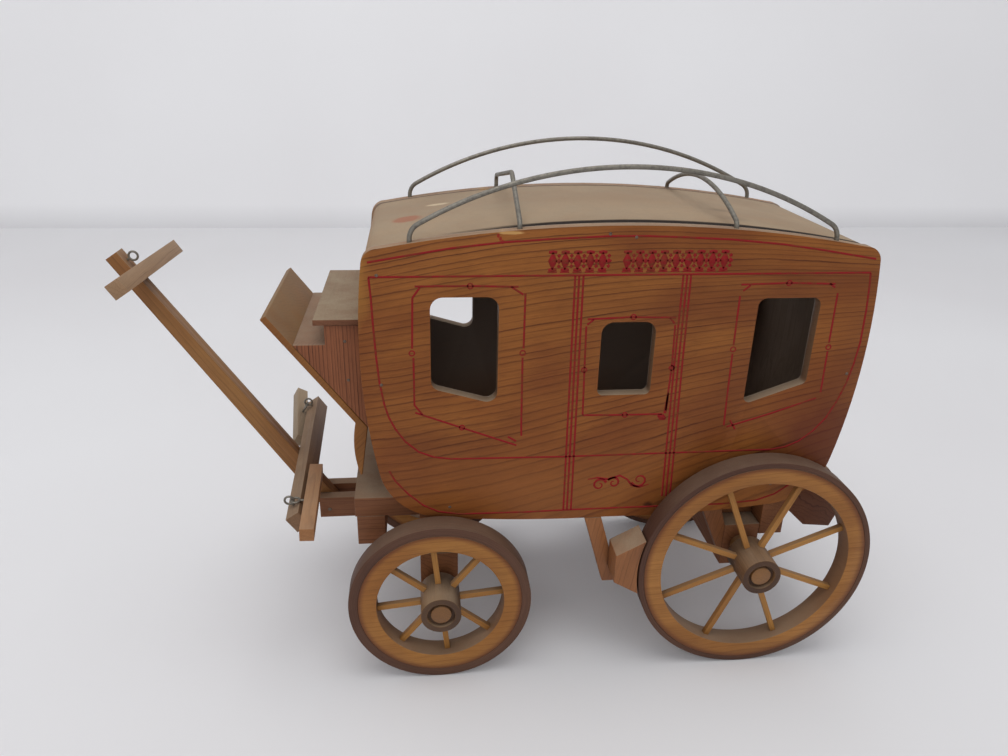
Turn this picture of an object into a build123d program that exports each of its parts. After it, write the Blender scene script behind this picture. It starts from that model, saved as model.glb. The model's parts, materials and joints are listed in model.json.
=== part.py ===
"""Toy wooden stagecoach: a cut-board coach body on four spoked wheels, with a drawbar.

Axes: +X to the rear, +Y to the coach's right, +Z up. The origin lies on the ground,
in the middle plane, below the middle of the door. Lengths are millimetres.
"""
import os
from math import cos, radians, sin

from build123d import *

# ---- body ----------------------------------------------------------------
body_width = 136.6          # over the two side panels
panel_thickness = 7.6       # side panels
body_mid_x = -4.5           # middle of the body along the coach
body_half_length = 149.0    # widest half length of a side panel
sill_z = 107.0              # lowest edge of a side panel
widest_z = 215.0            # height of the panel's widest place
eaves_z = 279.5             # ends of the crown's arc
eaves_inset = 12.0          # those ends inside the widest place
crown_rise = 12.3           # crown's middle above its ends
board_gap = 0.1             # glue line between neighbouring boards

# Lower curve of a side panel's outline, from the sill up.
# Columns: inside the panel's widest place, above the sill.
belly_curve = [(92.4, 0.6), (43.0, 4.5), (20.0, 15.0), (8.0, 37.0)]
# Upper curve, above the widest place. Columns: inside it, below the eaves.
shoulder_curve = [(3.0, 8.0), (5.5, 2.8)]

# Windows of a side panel. Columns: front edge x, rear edge x, top below the eaves, sill
# below the eaves at the front edge and at the rear edge, radius of the lower corners, and
# of the upper corners, and how much further forward the right panel's window is.
windows = [
    (-114.2, -76.2, 27.1, 81.2, 92.2, 6.0, 7.0, 5.0),
    (-17.4, 14.4, 42.7, 88.0, 88.0, 3.5, 7.0, 0.0),
    (73.0, 110.5, 29.5, 96.5, 82.9, 3.5, 5.0, 0.0),
]

roof_thickness = 4.0
roof_drop = 0.4             # roof's top below the panels' top
roof_side_gaps = (2.0, 0.5)         # open joint along its left and right side
roof_lip = 10.5             # roof's bent ends: their foot below the eaves
roof_lip_inset = (1.2, 7.5)         # their outer and inner face inside the shoulder curve
wall_thickness = 6.0        # front and rear walls
wall_inset = 3.5            # walls inside the panels' widest place
wall_lean = 0.5             # walls' lean inwards at the roof
wall_bend_drop = 20.0       # walls' bend below the widest place
wall_knee = (7.0, 28.0)     # lower bend: inside the wall's face, above its foot
wall_foot = (10.0, 3.0)     # slope under the wall: beyond the floor, above its foot
wall_inner_knee = (13.0, 31.0)      # lower bend of the inner face
floor_thickness = 8.0
floor_top_z = 121.0
floor_inset = 31.0          # cabin floor's end inside the panels' widest place

half_width = body_width / 2
body_front_x = body_mid_x - body_half_length
body_rear_x = body_mid_x + body_half_length
crown_z = eaves_z + crown_rise
roof_lip_z = eaves_z - roof_lip
eaves_half = body_half_length - eaves_inset
floor_half = body_half_length - floor_inset

# ---- driver's boot ---------------------------------------------------------
boot_width = 102.0
boot_floor_z = 219.5
riser_x = body_front_x - 20.5       # seat riser
seat_top_z = 235.0
seat_thickness = 3.6
seat_front_x = body_front_x - 26.5
seat_overhang = 1.0                 # seat board past the boot's sides
footboard_top = (body_front_x - 55.5, 235.0)    # lower face, upper end (x, z)
footboard_foot = (body_front_x - 6.0, 169.0)    # lower face, foot (x, z)
footboard_thickness = 4.0
apron_belly = (body_front_x - 7.5, 151.0)       # front of the curved apron
apron_end = (body_front_x - 4.5, 133.0)         # its lower end
apron_back = (body_front_x + 1.2, 166.0)        # top of its flat back
apron_tip = (1.0, 0.4)              # the back's lower end behind and above its front's

# ---- roof wires ----------------------------------------------------------------
wire_radius = 1.35
rail_front_x = body_front_x + 29.0
rail_rear_x = body_rear_x - 30.0
rail_bend_z = eaves_z + 9.5         # where a rail's foot turns into its arc
rail_top_z = eaves_z + 42.5
wire_set = 5.0              # depth of a wire's foot in its panel
wire_clearance = 0.05
rail_bend = 9.0             # bend radius where a rail turns out of its foot
hoop_bend = 4.0             # the same for a hoop
# Rear hoop, a plain arch: x, rise of its top above the eaves.
rear_hoop = (55.0, 27.5)
# Front hoop, bent with a peak off its middle: x, peak's y, rise of the peak and of the
# right shoulder above the eaves, bend radius of the peak.
front_hoop = (-65.5, -22.0, 33.0, 18.0, 12.0)

# ---- wheels -----------------------------------------------------------------
front_axle_x = body_front_x + 42.9
front_tyre_radius = 57.0
rear_axle_x = body_rear_x - 54.6
rear_tyre_radius = 76.2
# Columns: name, axle x, tyre radius, tyre thickness, rim depth, first spoke's angle from
# the level, distance of the rim's outer face from the middle plane.
front_wheel = ("front", front_axle_x, front_tyre_radius, 5.8, 11.4, 96.0, half_width + 15.7)
rear_wheel = ("rear", rear_axle_x, rear_tyre_radius, 3.6, 11.0, 112.5, half_width + 18.8)
wheel_width = 13.6
hub_radius = 12.4
hub_overhang = 10.0         # hub beyond the rim's outer face
hub_inner_overhang = 3.0    # hub beyond the rim's inner face
hub_recess = 2.5            # turned recess in the hub's end
hub_recess_radius = 8.6
spoke_count = 8
spoke_size = 3.4
spoke_set = 3.0             # spoke's tenon in the hub
spoke_clearance = 0.02      # spoke's end in the rim
axle_radius = 6.35
axle_clearance = 0.08       # running clearance of a hub on its axle, on the radius
axle_short = 0.8            # axle's end inside the hub's face

# ---- running gear --------------------------------------------------------------
perch_width = 30.0
perch_height = 15.0
perch_top_z = 94.0
perch_front_x = body_front_x - 36.5
fork_depth = 25.0
fork_width = 26.0           # perch is a little narrower where it is forked
fork_clearance = 0.5        # each side of the tongue
axle_block_length = 24.0
front_block_height = 38.0
rear_block_height = 31.0
rear_block_top_z = 91.0
side_gap = 0.3              # clearance of under-body pieces inside the side panels
bolster_inset = 2.0         # front bolster shorter than its block, at each end
rear_bolster_inset = 14.0   # the same for the rear bolster
platform_front_x = body_front_x - 9.5
platform_thickness = 13.4
platform_rise = 0.4         # its top above the outer edge of the front wall's foot
transom_front_x = body_front_x - 8.5        # crosspiece over the perch, under the platform
transom_rear_x = body_front_x + 9.2
transom_bottom_z = 82.0
stay_length = 16.0
stay_bottom_z = 83.0
brace_width = 8.0
brace_depth = 14.0
brace_top_x = rear_axle_x - 32.9
brace_foot_z = 66.0
hanger_top_x = rear_axle_x - 109.0
sill_dip = 0.3              # hanger's top below the sill's middle, clear of its curve
hanger_foot = (rear_axle_x - 94.3, 57.0)
hanger_depth = 10.6
shoe_gap = 1.0              # brake shoe to tread
shoe_front_x = rear_axle_x - 91.9
shoe_top_z = 100.0
shoe_bottom_z = 60.0
shoe_front_inset = 10.0     # shoe's front edge shorter at each end
rear_boot_width = 96.0
rear_boot_end_x = body_rear_x + 17.5
rear_boot_top_z = 124.0
rear_boot_bottom_z = 78.0
rear_boot_bevel = (12.0, 14.0)      # upper edge: along, down
rear_boot_round = (3.0, 8.0)        # lower edge: along, up
rear_boot_slope = (22.0, 12.0)      # sloping front: along, depth at its start
rear_boot_rise = 2.0                # bottom's rise towards its front

# ---- tongue and trees -------------------------------------------------------------
tongue_raise = 56.5         # tongue above the level, in degrees
pivot = (body_front_x - 30.0, 85.0)     # tongue's pivot (x, z)
tongue_width = 10.0
tongue_base_depth = 12.0
tongue_tip_depth = 8.0
tongue_length = 210.0       # pivot to tip
nail_radius = 1.2
nail_head_radius = 2.4
nail_head_height = 0.8
nail_clearance = 0.06
nail_short = 1.0            # nail's point below a crossbar's upper face
tip_eye_set = 4.0           # tip eye's thread in the tongue
bore_spare = 1.0            # bore beyond a face, or beyond what sits in it
point_spare = 0.2           # hole deeper than its nail or thread
doubletree_along = 37.5     # from the pivot, along the tongue
doubletree_length = 149.7
doubletree_size = (11.0, 9.0)       # along the tongue, and standing off it
doubletree_shift = -4.0     # its middle to the right of its nail
doubletree_turn = -2.8      # turned on its nail, in degrees
yoke_along = tongue_length - 17.0
yoke_length = 101.6
yoke_size = (9.2, 9.0)
yoke_shift = 4.0
yoke_turn = 2.0             # yoke turned on its nail, in degrees
tip_eye_along = tongue_length - 7.0
eye_wire = 0.65             # radius of a screw eye's wire
eye_ring = 2.6              # mean radius of its ring
eye_inset = 11.25           # doubletree's eyes inside its ends
eye_stand = 4.4             # ring's centre off the face that it is screwed in
eye_set = 5.0               # thread's depth
eye_play = 0.3              # between two linked rings
singletree_length = 68.5
singletree_size = 8.0
left_link = 13.2            # doubletree's eye to the middle of the left singletree
right_link = 13.4
rear_eye_y = -36.0          # eye under the rear boot
rear_eye_rise = 7.0
rear_eye_stand = 0.8        # its ring further off than the others

# Singletrees. Columns: name, side (-1 left, 1 right), direction from the doubletree's eye
# in degrees from the rear over the top, eye to bar centre, skew across in degrees.
singletrees = [
    ("left", -1, -3.0, left_link, 0.0),
    ("right", 1, 240.0, right_link, 6.0),
]

os.makedirs("parts", exist_ok=True)
inner_half = half_width - panel_thickness
wire_y = half_width - panel_thickness / 2
sides = [("left", -1), ("right", 1)]
block_width = 2 * (inner_half - side_gap)
perch_bottom_z = perch_top_z - perch_height


def save(piece, name):
    """Label a finished piece and write its STEP file."""
    piece.part.label = name
    export_step(piece.part, f"parts/{name}.step")


def wall_plane(outer_y):
    """Upright plane across the coach, drawn in (x, z), from which pieces grow to -Y."""
    return Plane.XZ.offset(-outer_y)


def along_body(distance, height):
    """A point of a side panel's outline, measured from the body's middle."""
    return (body_mid_x + distance, height)


def crown_height(x):
    """Height of a side panel's top edge at x."""
    return crown_z - (crown_z - eaves_z) * ((x - body_mid_x) / eaves_half) ** 2


def body_outline():
    """Closed outline of a side panel, drawn as two halves from the sill to the crown."""
    for end in (1, -1):
        low, foot, bend, knee = [
            along_body(end * (body_half_length - inside), sill_z + above)
            for inside, above in belly_curve
        ]
        shoulder, turn = [
            along_body(end * (body_half_length - inside), eaves_z - below)
            for inside, below in shoulder_curve
        ]
        eaves = along_body(end * eaves_half, eaves_z)
        ThreePointArc(along_body(0, sill_z), low, foot)
        ThreePointArc(foot, bend, knee)
        ThreePointArc(knee, along_body(end * body_half_length, widest_z), shoulder)
        ThreePointArc(shoulder, turn, eaves)
        crown_side = along_body(end * eaves_half / 2, crown_z - crown_rise / 4)
        ThreePointArc(eaves, crown_side, along_body(0, crown_z))


# ---- side panels --------------------------------------------------------------
for side_name, side in sides:
    outer_y = half_width if side > 0 else -inner_half
    with BuildPart() as panel:
        with BuildSketch(wall_plane(outer_y)):
            with BuildLine():
                body_outline()
            make_face()
        extrude(amount=panel_thickness)
        for front_x, rear_x, top, front_sill, rear_sill, low_corner, top_corner, ahead_by in windows:
            if side > 0:
                front_x -= ahead_by
                rear_x -= ahead_by
            with BuildSketch(wall_plane(outer_y)) as opening:
                with BuildLine():
                    Polyline(
                        (front_x, eaves_z - front_sill),
                        (rear_x, eaves_z - rear_sill),
                        (rear_x, eaves_z - top),
                        (front_x, eaves_z - top),
                        close=True,
                    )
                make_face()
                fillet(opening.vertices().sort_by(Axis.Y)[:2], low_corner)
                fillet(opening.vertices().sort_by(Axis.Y)[-2:], top_corner)
            extrude(amount=panel_thickness, mode=Mode.SUBTRACT)
        for foot_x in (rail_front_x, rail_rear_x, front_hoop[0], rear_hoop[0]):
            with BuildSketch(Plane.XY.offset(crown_height(foot_x) - wire_set)):
                with Locations((foot_x, side * wire_y)):
                    Circle(wire_radius + wire_clearance)
            extrude(amount=2 * wire_set, mode=Mode.SUBTRACT)
    save(panel, f"side_panel_{side_name}")

# ---- roof, floor and end walls --------------------------------------------------
cabin_half = inner_half - board_gap
wall_outer = body_half_length - wall_inset
wall_bottom_z = floor_top_z - floor_thickness
roof_end_z = eaves_z - roof_drop
wall_top_z = roof_lip_z - board_gap
with BuildPart() as roof:
    left_gap, right_gap = roof_side_gaps
    with BuildSketch(wall_plane(inner_half - right_gap)):
        with BuildLine():
            roof_top = crown_z - roof_drop
            shoulder_in, shoulder_drop = shoulder_curve[0]
            turn_in, turn_drop = shoulder_curve[1]
            lip_outer = body_half_length - shoulder_in - roof_lip_inset[0]
            lip_inner = body_half_length - shoulder_in - roof_lip_inset[1]
            roof_under_z = roof_end_z - roof_thickness
            for end in (1, -1):
                corner = along_body(end * (eaves_half - roof_drop), roof_end_z)
                turn = along_body(
                    end * (body_half_length - turn_in - roof_lip_inset[0]),
                    eaves_z - turn_drop - roof_drop,
                )
                shoulder = along_body(end * lip_outer, eaves_z - shoulder_drop)
                lip_foot = along_body(end * lip_outer, roof_lip_z)
                lip_inner_foot = along_body(end * lip_inner, roof_lip_z)
                under = along_body(end * lip_inner, roof_under_z)
                crown_side = along_body(end * eaves_half / 2, roof_top - crown_rise / 4)
                ThreePointArc(along_body(0, roof_top), crown_side, corner)
                ThreePointArc(corner, turn, shoulder)
                Polyline(shoulder, lip_foot, lip_inner_foot, under)
                under_side = along_body(end * lip_inner / 2, roof_under_z + crown_rise * 3 / 4)
                ThreePointArc(under, under_side, along_body(0, roof_top - roof_thickness))
        make_face()
    extrude(amount=2 * inner_half - left_gap - right_gap)
save(roof, "roof")

with BuildPart() as cabin_floor:
    with BuildSketch(Plane.XY.offset(floor_top_z - floor_thickness)):
        with Locations((body_mid_x, 0)):
            Rectangle(2 * floor_half, 2 * cabin_half)
    extrude(amount=floor_thickness)
save(cabin_floor, "cabin_floor")

wall_bend_z = widest_z - wall_bend_drop
wall_profile = [
    (floor_half, wall_bottom_z),
    (floor_half + wall_foot[0], wall_bottom_z + wall_foot[1]),
    (wall_outer - wall_knee[0], wall_bottom_z + wall_knee[1]),
    (wall_outer, wall_bend_z),
    (wall_outer - wall_lean, wall_top_z),
    (wall_outer - wall_lean - wall_thickness, wall_top_z),
    (wall_outer - wall_thickness, wall_bend_z),
    (wall_outer - wall_inner_knee[0], wall_bottom_z + wall_inner_knee[1]),
    (floor_half, floor_top_z),
]
for wall_name, end in (("front_wall", -1), ("rear_wall", 1)):
    with BuildPart() as wall:
        with BuildSketch(Plane.XZ):
            with BuildLine():
                Polyline([along_body(end * out, height) for out, height in wall_profile], close=True)
            make_face()
        extrude(amount=cabin_half, both=True)
    save(wall, wall_name)

# ---- driver's boot ---------------------------------------------------------------
slope = Vector(footboard_top[0] - footboard_foot[0], footboard_top[1] - footboard_foot[1], 0).normalized()
lift = Vector(slope.Y, -slope.X, 0) * footboard_thickness


def board_point(height, offset=0.0):
    """A point on the footboard's lower face at a height, moved off along its thickness."""
    share = (height - footboard_foot[1]) / (footboard_top[1] - footboard_foot[1])
    x = footboard_foot[0] + share * (footboard_top[0] - footboard_foot[0])
    return (x + lift.X * offset, height + lift.Y * offset)


boot_back_x = body_mid_x - wall_outer - board_gap
block_gap = 1.0 + board_gap / footboard_thickness
block_foot = board_point(footboard_foot[1], block_gap)
block_tip_z = block_foot[1] + (boot_back_x - block_foot[0]) * slope.Y / slope.X
with BuildPart() as boot_block:
    with BuildSketch(Plane.XZ):
        with BuildLine():
            Polyline(
                board_point(boot_floor_z - lift.Y * block_gap, block_gap),
                (riser_x, boot_floor_z),
                (riser_x, seat_top_z - seat_thickness - board_gap),
                (boot_back_x, seat_top_z - seat_thickness - board_gap),
                (boot_back_x, block_tip_z),
                close=True,
            )
        make_face()
    extrude(amount=boot_width / 2, both=True)
save(boot_block, "boot_block")

with BuildPart() as seat_board:
    with BuildSketch(Plane.XZ):
        with BuildLine():
            Polyline(
                (seat_front_x, seat_top_z - seat_thickness),
                (boot_back_x, seat_top_z - seat_thickness),
                (boot_back_x, seat_top_z),
                (seat_front_x, seat_top_z),
                close=True,
            )
        make_face()
    extrude(amount=boot_width / 2 + seat_overhang, both=True)
save(seat_board, "seat_board")

with BuildPart() as footboard:
    with BuildSketch(Plane.XZ):
        with BuildLine():
            foot_upper = (footboard_foot[0] + lift.X, footboard_foot[1] + lift.Y)
            top_upper = (footboard_top[0] + lift.X, footboard_top[1] + lift.Y)
            Line(footboard_foot, footboard_top)
            Line(footboard_top, top_upper)
            Line(top_upper, foot_upper)
            back_end = (apron_end[0] + apron_tip[0], apron_end[1] + apron_tip[1])
            Polyline(foot_upper, apron_back, back_end, apron_end)
            ThreePointArc(apron_end, apron_belly, footboard_foot)
        make_face()
    extrude(amount=boot_width / 2, both=True)
save(footboard, "footboard")

# ---- roof wires -------------------------------------------------------------------
def wire_corners(path, height):
    """The two corners of a wire's path that lie at a height."""
    return path.vertices().filter_by_position(Axis.Z, height - 0.01, height + 0.01)


for side_name, side in sides:
    with BuildPart() as rail:
        with BuildLine(Plane.XZ.offset(-side * wire_y)) as rail_path:
            front_foot = crown_height(rail_front_x) - wire_set
            rear_foot = crown_height(rail_rear_x) - wire_set
            Line((rail_front_x, front_foot), (rail_front_x, rail_bend_z))
            ThreePointArc(
                (rail_front_x, rail_bend_z),
                ((rail_front_x + rail_rear_x) / 2, rail_top_z),
                (rail_rear_x, rail_bend_z),
            )
            Line((rail_rear_x, rail_bend_z), (rail_rear_x, rear_foot))
            fillet(wire_corners(rail_path, rail_bend_z), rail_bend)
        with BuildSketch(Plane(origin=rail_path.line @ 0, z_dir=rail_path.line % 0)):
            Circle(wire_radius)
        sweep()
    save(rail, f"luggage_rail_{side_name}")

with BuildPart() as hoop:
    hoop_x, hoop_rise = rear_hoop
    with BuildLine(Plane.YZ.offset(hoop_x)) as hoop_path:
        foot_z = crown_height(hoop_x) - wire_set
        bend_z = crown_height(hoop_x) + 0.75 * hoop_bend
        Line((-wire_y, foot_z), (-wire_y, bend_z))
        ThreePointArc((-wire_y, bend_z), (0, eaves_z + hoop_rise), (wire_y, bend_z))
        Line((wire_y, bend_z), (wire_y, foot_z))
        fillet(wire_corners(hoop_path, bend_z), hoop_bend)
    with BuildSketch(Plane(origin=hoop_path.line @ 0, z_dir=hoop_path.line % 0)):
        Circle(wire_radius)
    sweep()
save(hoop, "roof_hoop_rear")

with BuildPart() as bent_hoop:
    hoop_x, peak_y, peak_rise, shoulder_rise, peak_bend = front_hoop
    with BuildLine(Plane.YZ.offset(hoop_x)) as hoop_path:
        foot_z = crown_height(hoop_x) - wire_set
        bend_z = crown_height(hoop_x) + 0.75 * hoop_bend
        Polyline(
            (-wire_y, foot_z),
            (-wire_y, bend_z),
            (peak_y, eaves_z + peak_rise),
            (wire_y, eaves_z + shoulder_rise),
            (wire_y, foot_z),
        )
        fillet(wire_corners(hoop_path, bend_z), hoop_bend)
        fillet(wire_corners(hoop_path, eaves_z + shoulder_rise), hoop_bend)
        fillet(wire_corners(hoop_path, eaves_z + peak_rise), peak_bend)
    with BuildSketch(Plane(origin=hoop_path.line @ 0, z_dir=hoop_path.line % 0)):
        Circle(wire_radius)
    sweep()
save(bent_hoop, "roof_hoop_front")

# ---- perch, axle blocks and bolsters ------------------------------------------------
rear_block_front_x = rear_axle_x - axle_block_length / 2
rear_block_rear_x = rear_axle_x + axle_block_length / 2
perch_rear_x = rear_block_front_x - board_gap
fork_half = tongue_width / 2 + fork_clearance
under_perch_z = perch_bottom_z - board_gap
front_block_front_x = front_axle_x - axle_block_length / 2
front_block_rear_x = front_axle_x + axle_block_length / 2


def block(front_x, rear_x, bottom_z, top_z, width):
    """A squared block across the coach, in the part being built."""
    with BuildSketch(Plane.XY.offset(bottom_z)) as base:
        with Locations(((front_x + rear_x) / 2, 0)):
            Rectangle(rear_x - front_x, width)
    extrude(base.sketch, amount=top_z - bottom_z)


def axle_hole(axle_x, axle_z):
    """Bore an axle's hole through the part being built."""
    with BuildSketch(Plane.XZ) as bore:
        with Locations((axle_x, axle_z)):
            Circle(axle_radius + board_gap)
    extrude(bore.sketch, amount=block_width, both=True, mode=Mode.SUBTRACT)


with BuildPart() as perch:
    block(transom_front_x, perch_rear_x, perch_bottom_z, perch_top_z, perch_width)
    block(perch_front_x, transom_front_x, perch_bottom_z, perch_top_z, fork_width)
    with BuildSketch(Plane.XY.offset(perch_bottom_z)):
        with Locations((perch_front_x + fork_depth / 2, 0)):
            Rectangle(fork_depth, 2 * fork_half)
    extrude(amount=perch_height, mode=Mode.SUBTRACT)
    with BuildSketch(Plane.XZ):
        with Locations(pivot):
            Circle(nail_radius + nail_clearance)
    extrude(amount=perch_width, both=True, mode=Mode.SUBTRACT)
save(perch, "perch")

with BuildPart() as front_platform:
    wall_foot_x, wall_foot_z = along_body(-wall_profile[1][0], wall_profile[1][1])
    wall_knee_x, wall_knee_z = along_body(-wall_profile[2][0], wall_profile[2][1])
    platform_top_z = wall_foot_z + platform_rise
    platform_bottom_z = platform_top_z - platform_thickness
    share = platform_rise / (wall_knee_z - wall_foot_z)
    platform_rear_x = wall_foot_x + share * (wall_knee_x - wall_foot_x) - board_gap
    with BuildSketch(Plane.XZ):
        with BuildLine():
            Polyline(
                (platform_front_x, platform_bottom_z),
                (front_block_front_x - board_gap, platform_bottom_z),
                (front_block_front_x - board_gap, wall_bottom_z - board_gap),
                (wall_foot_x, wall_foot_z - 1.5 * board_gap),
                (platform_rear_x, platform_top_z),
                (platform_front_x, platform_top_z),
                close=True,
            )
        make_face()
    extrude(amount=boot_width / 2, both=True)
save(front_platform, "front_platform")

with BuildPart() as front_transom:
    transom_top_z = platform_bottom_z - board_gap
    block(transom_front_x, transom_rear_x, transom_bottom_z, transom_top_z, boot_width)
    with BuildSketch(Plane.YZ.offset(transom_front_x)):
        with Locations((0, perch_top_z + board_gap - perch_height)):
            Rectangle(perch_width + 2 * board_gap, 2 * perch_height)
    extrude(amount=transom_rear_x - transom_front_x, mode=Mode.SUBTRACT)
save(front_transom, "front_transom")

with BuildPart() as front_axle_block:
    block(
        front_block_front_x, front_block_rear_x,
        under_perch_z - front_block_height, under_perch_z, block_width,
    )
    axle_hole(front_axle_x, front_tyre_radius)
save(front_axle_block, "front_axle_block")

with BuildPart() as front_bolster:
    block(
        front_block_front_x, front_block_rear_x,
        perch_top_z + board_gap, wall_bottom_z - board_gap, block_width - 2 * bolster_inset,
    )
save(front_bolster, "front_bolster")

with BuildPart() as rear_axle_block:
    block(
        rear_block_front_x, rear_block_rear_x,
        rear_block_top_z - rear_block_height, rear_block_top_z, block_width,
    )
    axle_hole(rear_axle_x, rear_tyre_radius)
save(rear_axle_block, "rear_axle_block")

with BuildPart() as rear_bolster:
    block(
        rear_block_front_x, rear_block_rear_x,
        rear_block_top_z + board_gap, wall_bottom_z - board_gap,
        block_width - 2 * rear_bolster_inset,
    )
save(rear_bolster, "rear_bolster")

with BuildPart() as rear_stay:
    block(
        rear_block_rear_x + board_gap, rear_block_rear_x + stay_length,
        stay_bottom_z, wall_bottom_z - board_gap, block_width,
    )
save(rear_stay, "rear_stay")

for side_name, side in sides:
    with BuildPart() as brace:
        brace_outer = block_width / 2 if side > 0 else -(block_width / 2 - brace_width)
        brace_end_x = rear_block_front_x - board_gap
        with BuildSketch(wall_plane(brace_outer)):
            with BuildLine():
                Polyline(
                    (brace_top_x, wall_bottom_z - board_gap),
                    (brace_top_x + brace_depth, wall_bottom_z - board_gap),
                    (brace_end_x, rear_block_top_z),
                    (brace_end_x, brace_foot_z),
                    close=True,
                )
            make_face()
        extrude(amount=brace_width)
    save(brace, f"rear_brace_{side_name}")

with BuildPart() as rear_boot:
    boot_front_x = rear_block_rear_x + stay_length + board_gap
    slope_top_z = wall_bottom_z - rear_boot_slope[1]
    slope_foot = (boot_front_x + rear_boot_slope[0], rear_boot_bottom_z + rear_boot_rise)
    foot_x, foot_z = along_body(*wall_profile[1])
    knee_x, _ = along_body(*wall_profile[2])
    with BuildSketch(Plane.XZ):
        with BuildLine():
            Polyline(
                (boot_front_x, wall_bottom_z - board_gap),
                along_body(floor_half, wall_bottom_z - board_gap),
                (foot_x + board_gap, foot_z - board_gap),
                (knee_x + board_gap, rear_boot_top_z),
                (rear_boot_end_x - rear_boot_bevel[0], rear_boot_top_z),
                (rear_boot_end_x, rear_boot_top_z - rear_boot_bevel[1]),
                (rear_boot_end_x, rear_boot_bottom_z + rear_boot_round[1]),
                (rear_boot_end_x - rear_boot_round[0], rear_boot_bottom_z),
                slope_foot,
                (boot_front_x, slope_top_z),
                close=True,
            )
        make_face()
    extrude(amount=rear_boot_width / 2, both=True)
save(rear_boot, "rear_boot")

# ---- brakes ---------------------------------------------------------------------
hanger_top_z = sill_z - sill_dip - board_gap
shoe_outer = rear_wheel[-1]
shoe_inner = half_width + board_gap
for side_name, side in sides:
    with BuildPart() as hanger:
        with BuildSketch(wall_plane(half_width if side > 0 else -inner_half)):
            with BuildLine():
                Polyline(
                    (hanger_top_x, hanger_top_z),
                    (hanger_top_x + hanger_depth, hanger_top_z),
                    (hanger_foot[0] + hanger_depth, hanger_foot[1]),
                    hanger_foot,
                    close=True,
                )
            make_face()
        extrude(amount=panel_thickness)
    save(hanger, f"brake_hanger_{side_name}")
    with BuildPart() as shoe:
        with BuildSketch(wall_plane(shoe_outer if side > 0 else -shoe_inner)):
            with BuildLine():
                tread = rear_tyre_radius + shoe_gap
                shoe_mid_z = (shoe_top_z + shoe_bottom_z) / 2
                arc_points = [
                    (rear_axle_x - (tread ** 2 - (z - rear_tyre_radius) ** 2) ** 0.5, z)
                    for z in (shoe_top_z, shoe_mid_z, shoe_bottom_z)
                ]
                ThreePointArc(*arc_points)
                Polyline(
                    arc_points[2],
                    (shoe_front_x, shoe_bottom_z + shoe_front_inset),
                    (shoe_front_x, shoe_top_z - shoe_front_inset),
                    arc_points[0],
                )
            make_face()
        extrude(amount=shoe_outer - shoe_inner)
    save(shoe, f"brake_shoe_{side_name}")

# ---- axles and wheels --------------------------------------------------------------
for wheel in (front_wheel, rear_wheel):
    wheel_name, axle_x, tyre_radius, tyre_depth, rim_depth, first_spoke, wheel_outer_y = wheel
    rim_outer = tyre_radius - tyre_depth
    rim_inner = rim_outer - rim_depth
    hub_outer_y = wheel_outer_y + hub_overhang
    hub_inner_y = wheel_outer_y - wheel_width - hub_inner_overhang
    centre = (axle_x, tyre_radius)
    with BuildPart() as axle:
        with BuildSketch(Plane.XZ):
            with Locations(centre):
                Circle(axle_radius)
        extrude(amount=hub_outer_y - axle_short, both=True)
    save(axle, f"{wheel_name}_axle")
    for side_name, side in sides:
        rim_plane = wall_plane(wheel_outer_y if side > 0 else wheel_width - wheel_outer_y)
        with BuildPart() as tyre:
            with BuildSketch(rim_plane):
                with Locations(centre):
                    Circle(tyre_radius)
                    Circle(rim_outer, mode=Mode.SUBTRACT)
            extrude(amount=wheel_width)
        save(tyre, f"{wheel_name}_tyre_{side_name}")
        with BuildPart() as rim:
            with BuildSketch(rim_plane):
                with Locations(centre):
                    Circle(rim_outer)
                    Circle(rim_inner, mode=Mode.SUBTRACT)
            extrude(amount=wheel_width)
        save(rim, f"{wheel_name}_rim_{side_name}")
        with BuildPart() as hub:
            with BuildSketch(wall_plane(hub_outer_y if side > 0 else -hub_inner_y)):
                with Locations(centre):
                    Circle(hub_radius)
            extrude(amount=hub_outer_y - hub_inner_y)
            spoke_end = (rim_inner ** 2 - (spoke_size / 2) ** 2) ** 0.5 - spoke_clearance
            spoke_start = hub_radius - spoke_set
            spoke_y = side * (wheel_outer_y - wheel_width / 2)
            with BuildSketch(Plane.XZ.offset(-spoke_y)):
                with Locations(centre):
                    middle = (spoke_end + spoke_start) / 2
                    with PolarLocations(middle, spoke_count, start_angle=first_spoke):
                        Rectangle(spoke_end - spoke_start, spoke_size)
            extrude(amount=spoke_size / 2, both=True)
            with BuildSketch(Plane.XZ):
                with Locations(centre):
                    Circle(axle_radius + axle_clearance)
            extrude(amount=-side * hub_outer_y, mode=Mode.SUBTRACT)
            recess_y = hub_outer_y if side > 0 else hub_recess - hub_outer_y
            with BuildSketch(wall_plane(recess_y)):
                with Locations(centre):
                    Circle(hub_recess_radius)
            extrude(amount=hub_recess, mode=Mode.SUBTRACT)
        save(hub, f"{wheel_name}_hub_{side_name}")

# ---- tongue ------------------------------------------------------------------------
raise_angle = radians(tongue_raise)
ahead = Vector(-cos(raise_angle), 0, sin(raise_angle))
off = Vector(sin(raise_angle), 0, cos(raise_angle))
pivot_point = Vector(pivot[0], 0, pivot[1])
tongue_plane = Plane(origin=pivot_point, x_dir=ahead, z_dir=(0, 1, 0))


def on_tongue(along, out=0.0, across=0.0):
    """A point along the tongue from its pivot, out from its middle, and to the right."""
    return pivot_point + ahead * along + off * out + Vector(0, across, 0)


def tongue_half_depth(along):
    """Half of the tapered tongue's depth at a distance from its pivot."""
    share = along / tongue_length
    return (tongue_base_depth + share * (tongue_tip_depth - tongue_base_depth)) / 2


def nail(name, foot_point, direction, length, set_depth):
    """A nail with its head up, its point set below the foot point."""
    with BuildPart() as pin:
        with BuildSketch(Plane(origin=foot_point - direction * set_depth, z_dir=direction)):
            Circle(nail_radius)
        extrude(amount=set_depth + length)
        with BuildSketch(Plane(origin=foot_point + direction * length, z_dir=direction)):
            Circle(nail_head_radius)
        extrude(amount=nail_head_height)
    save(pin, name)


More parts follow.
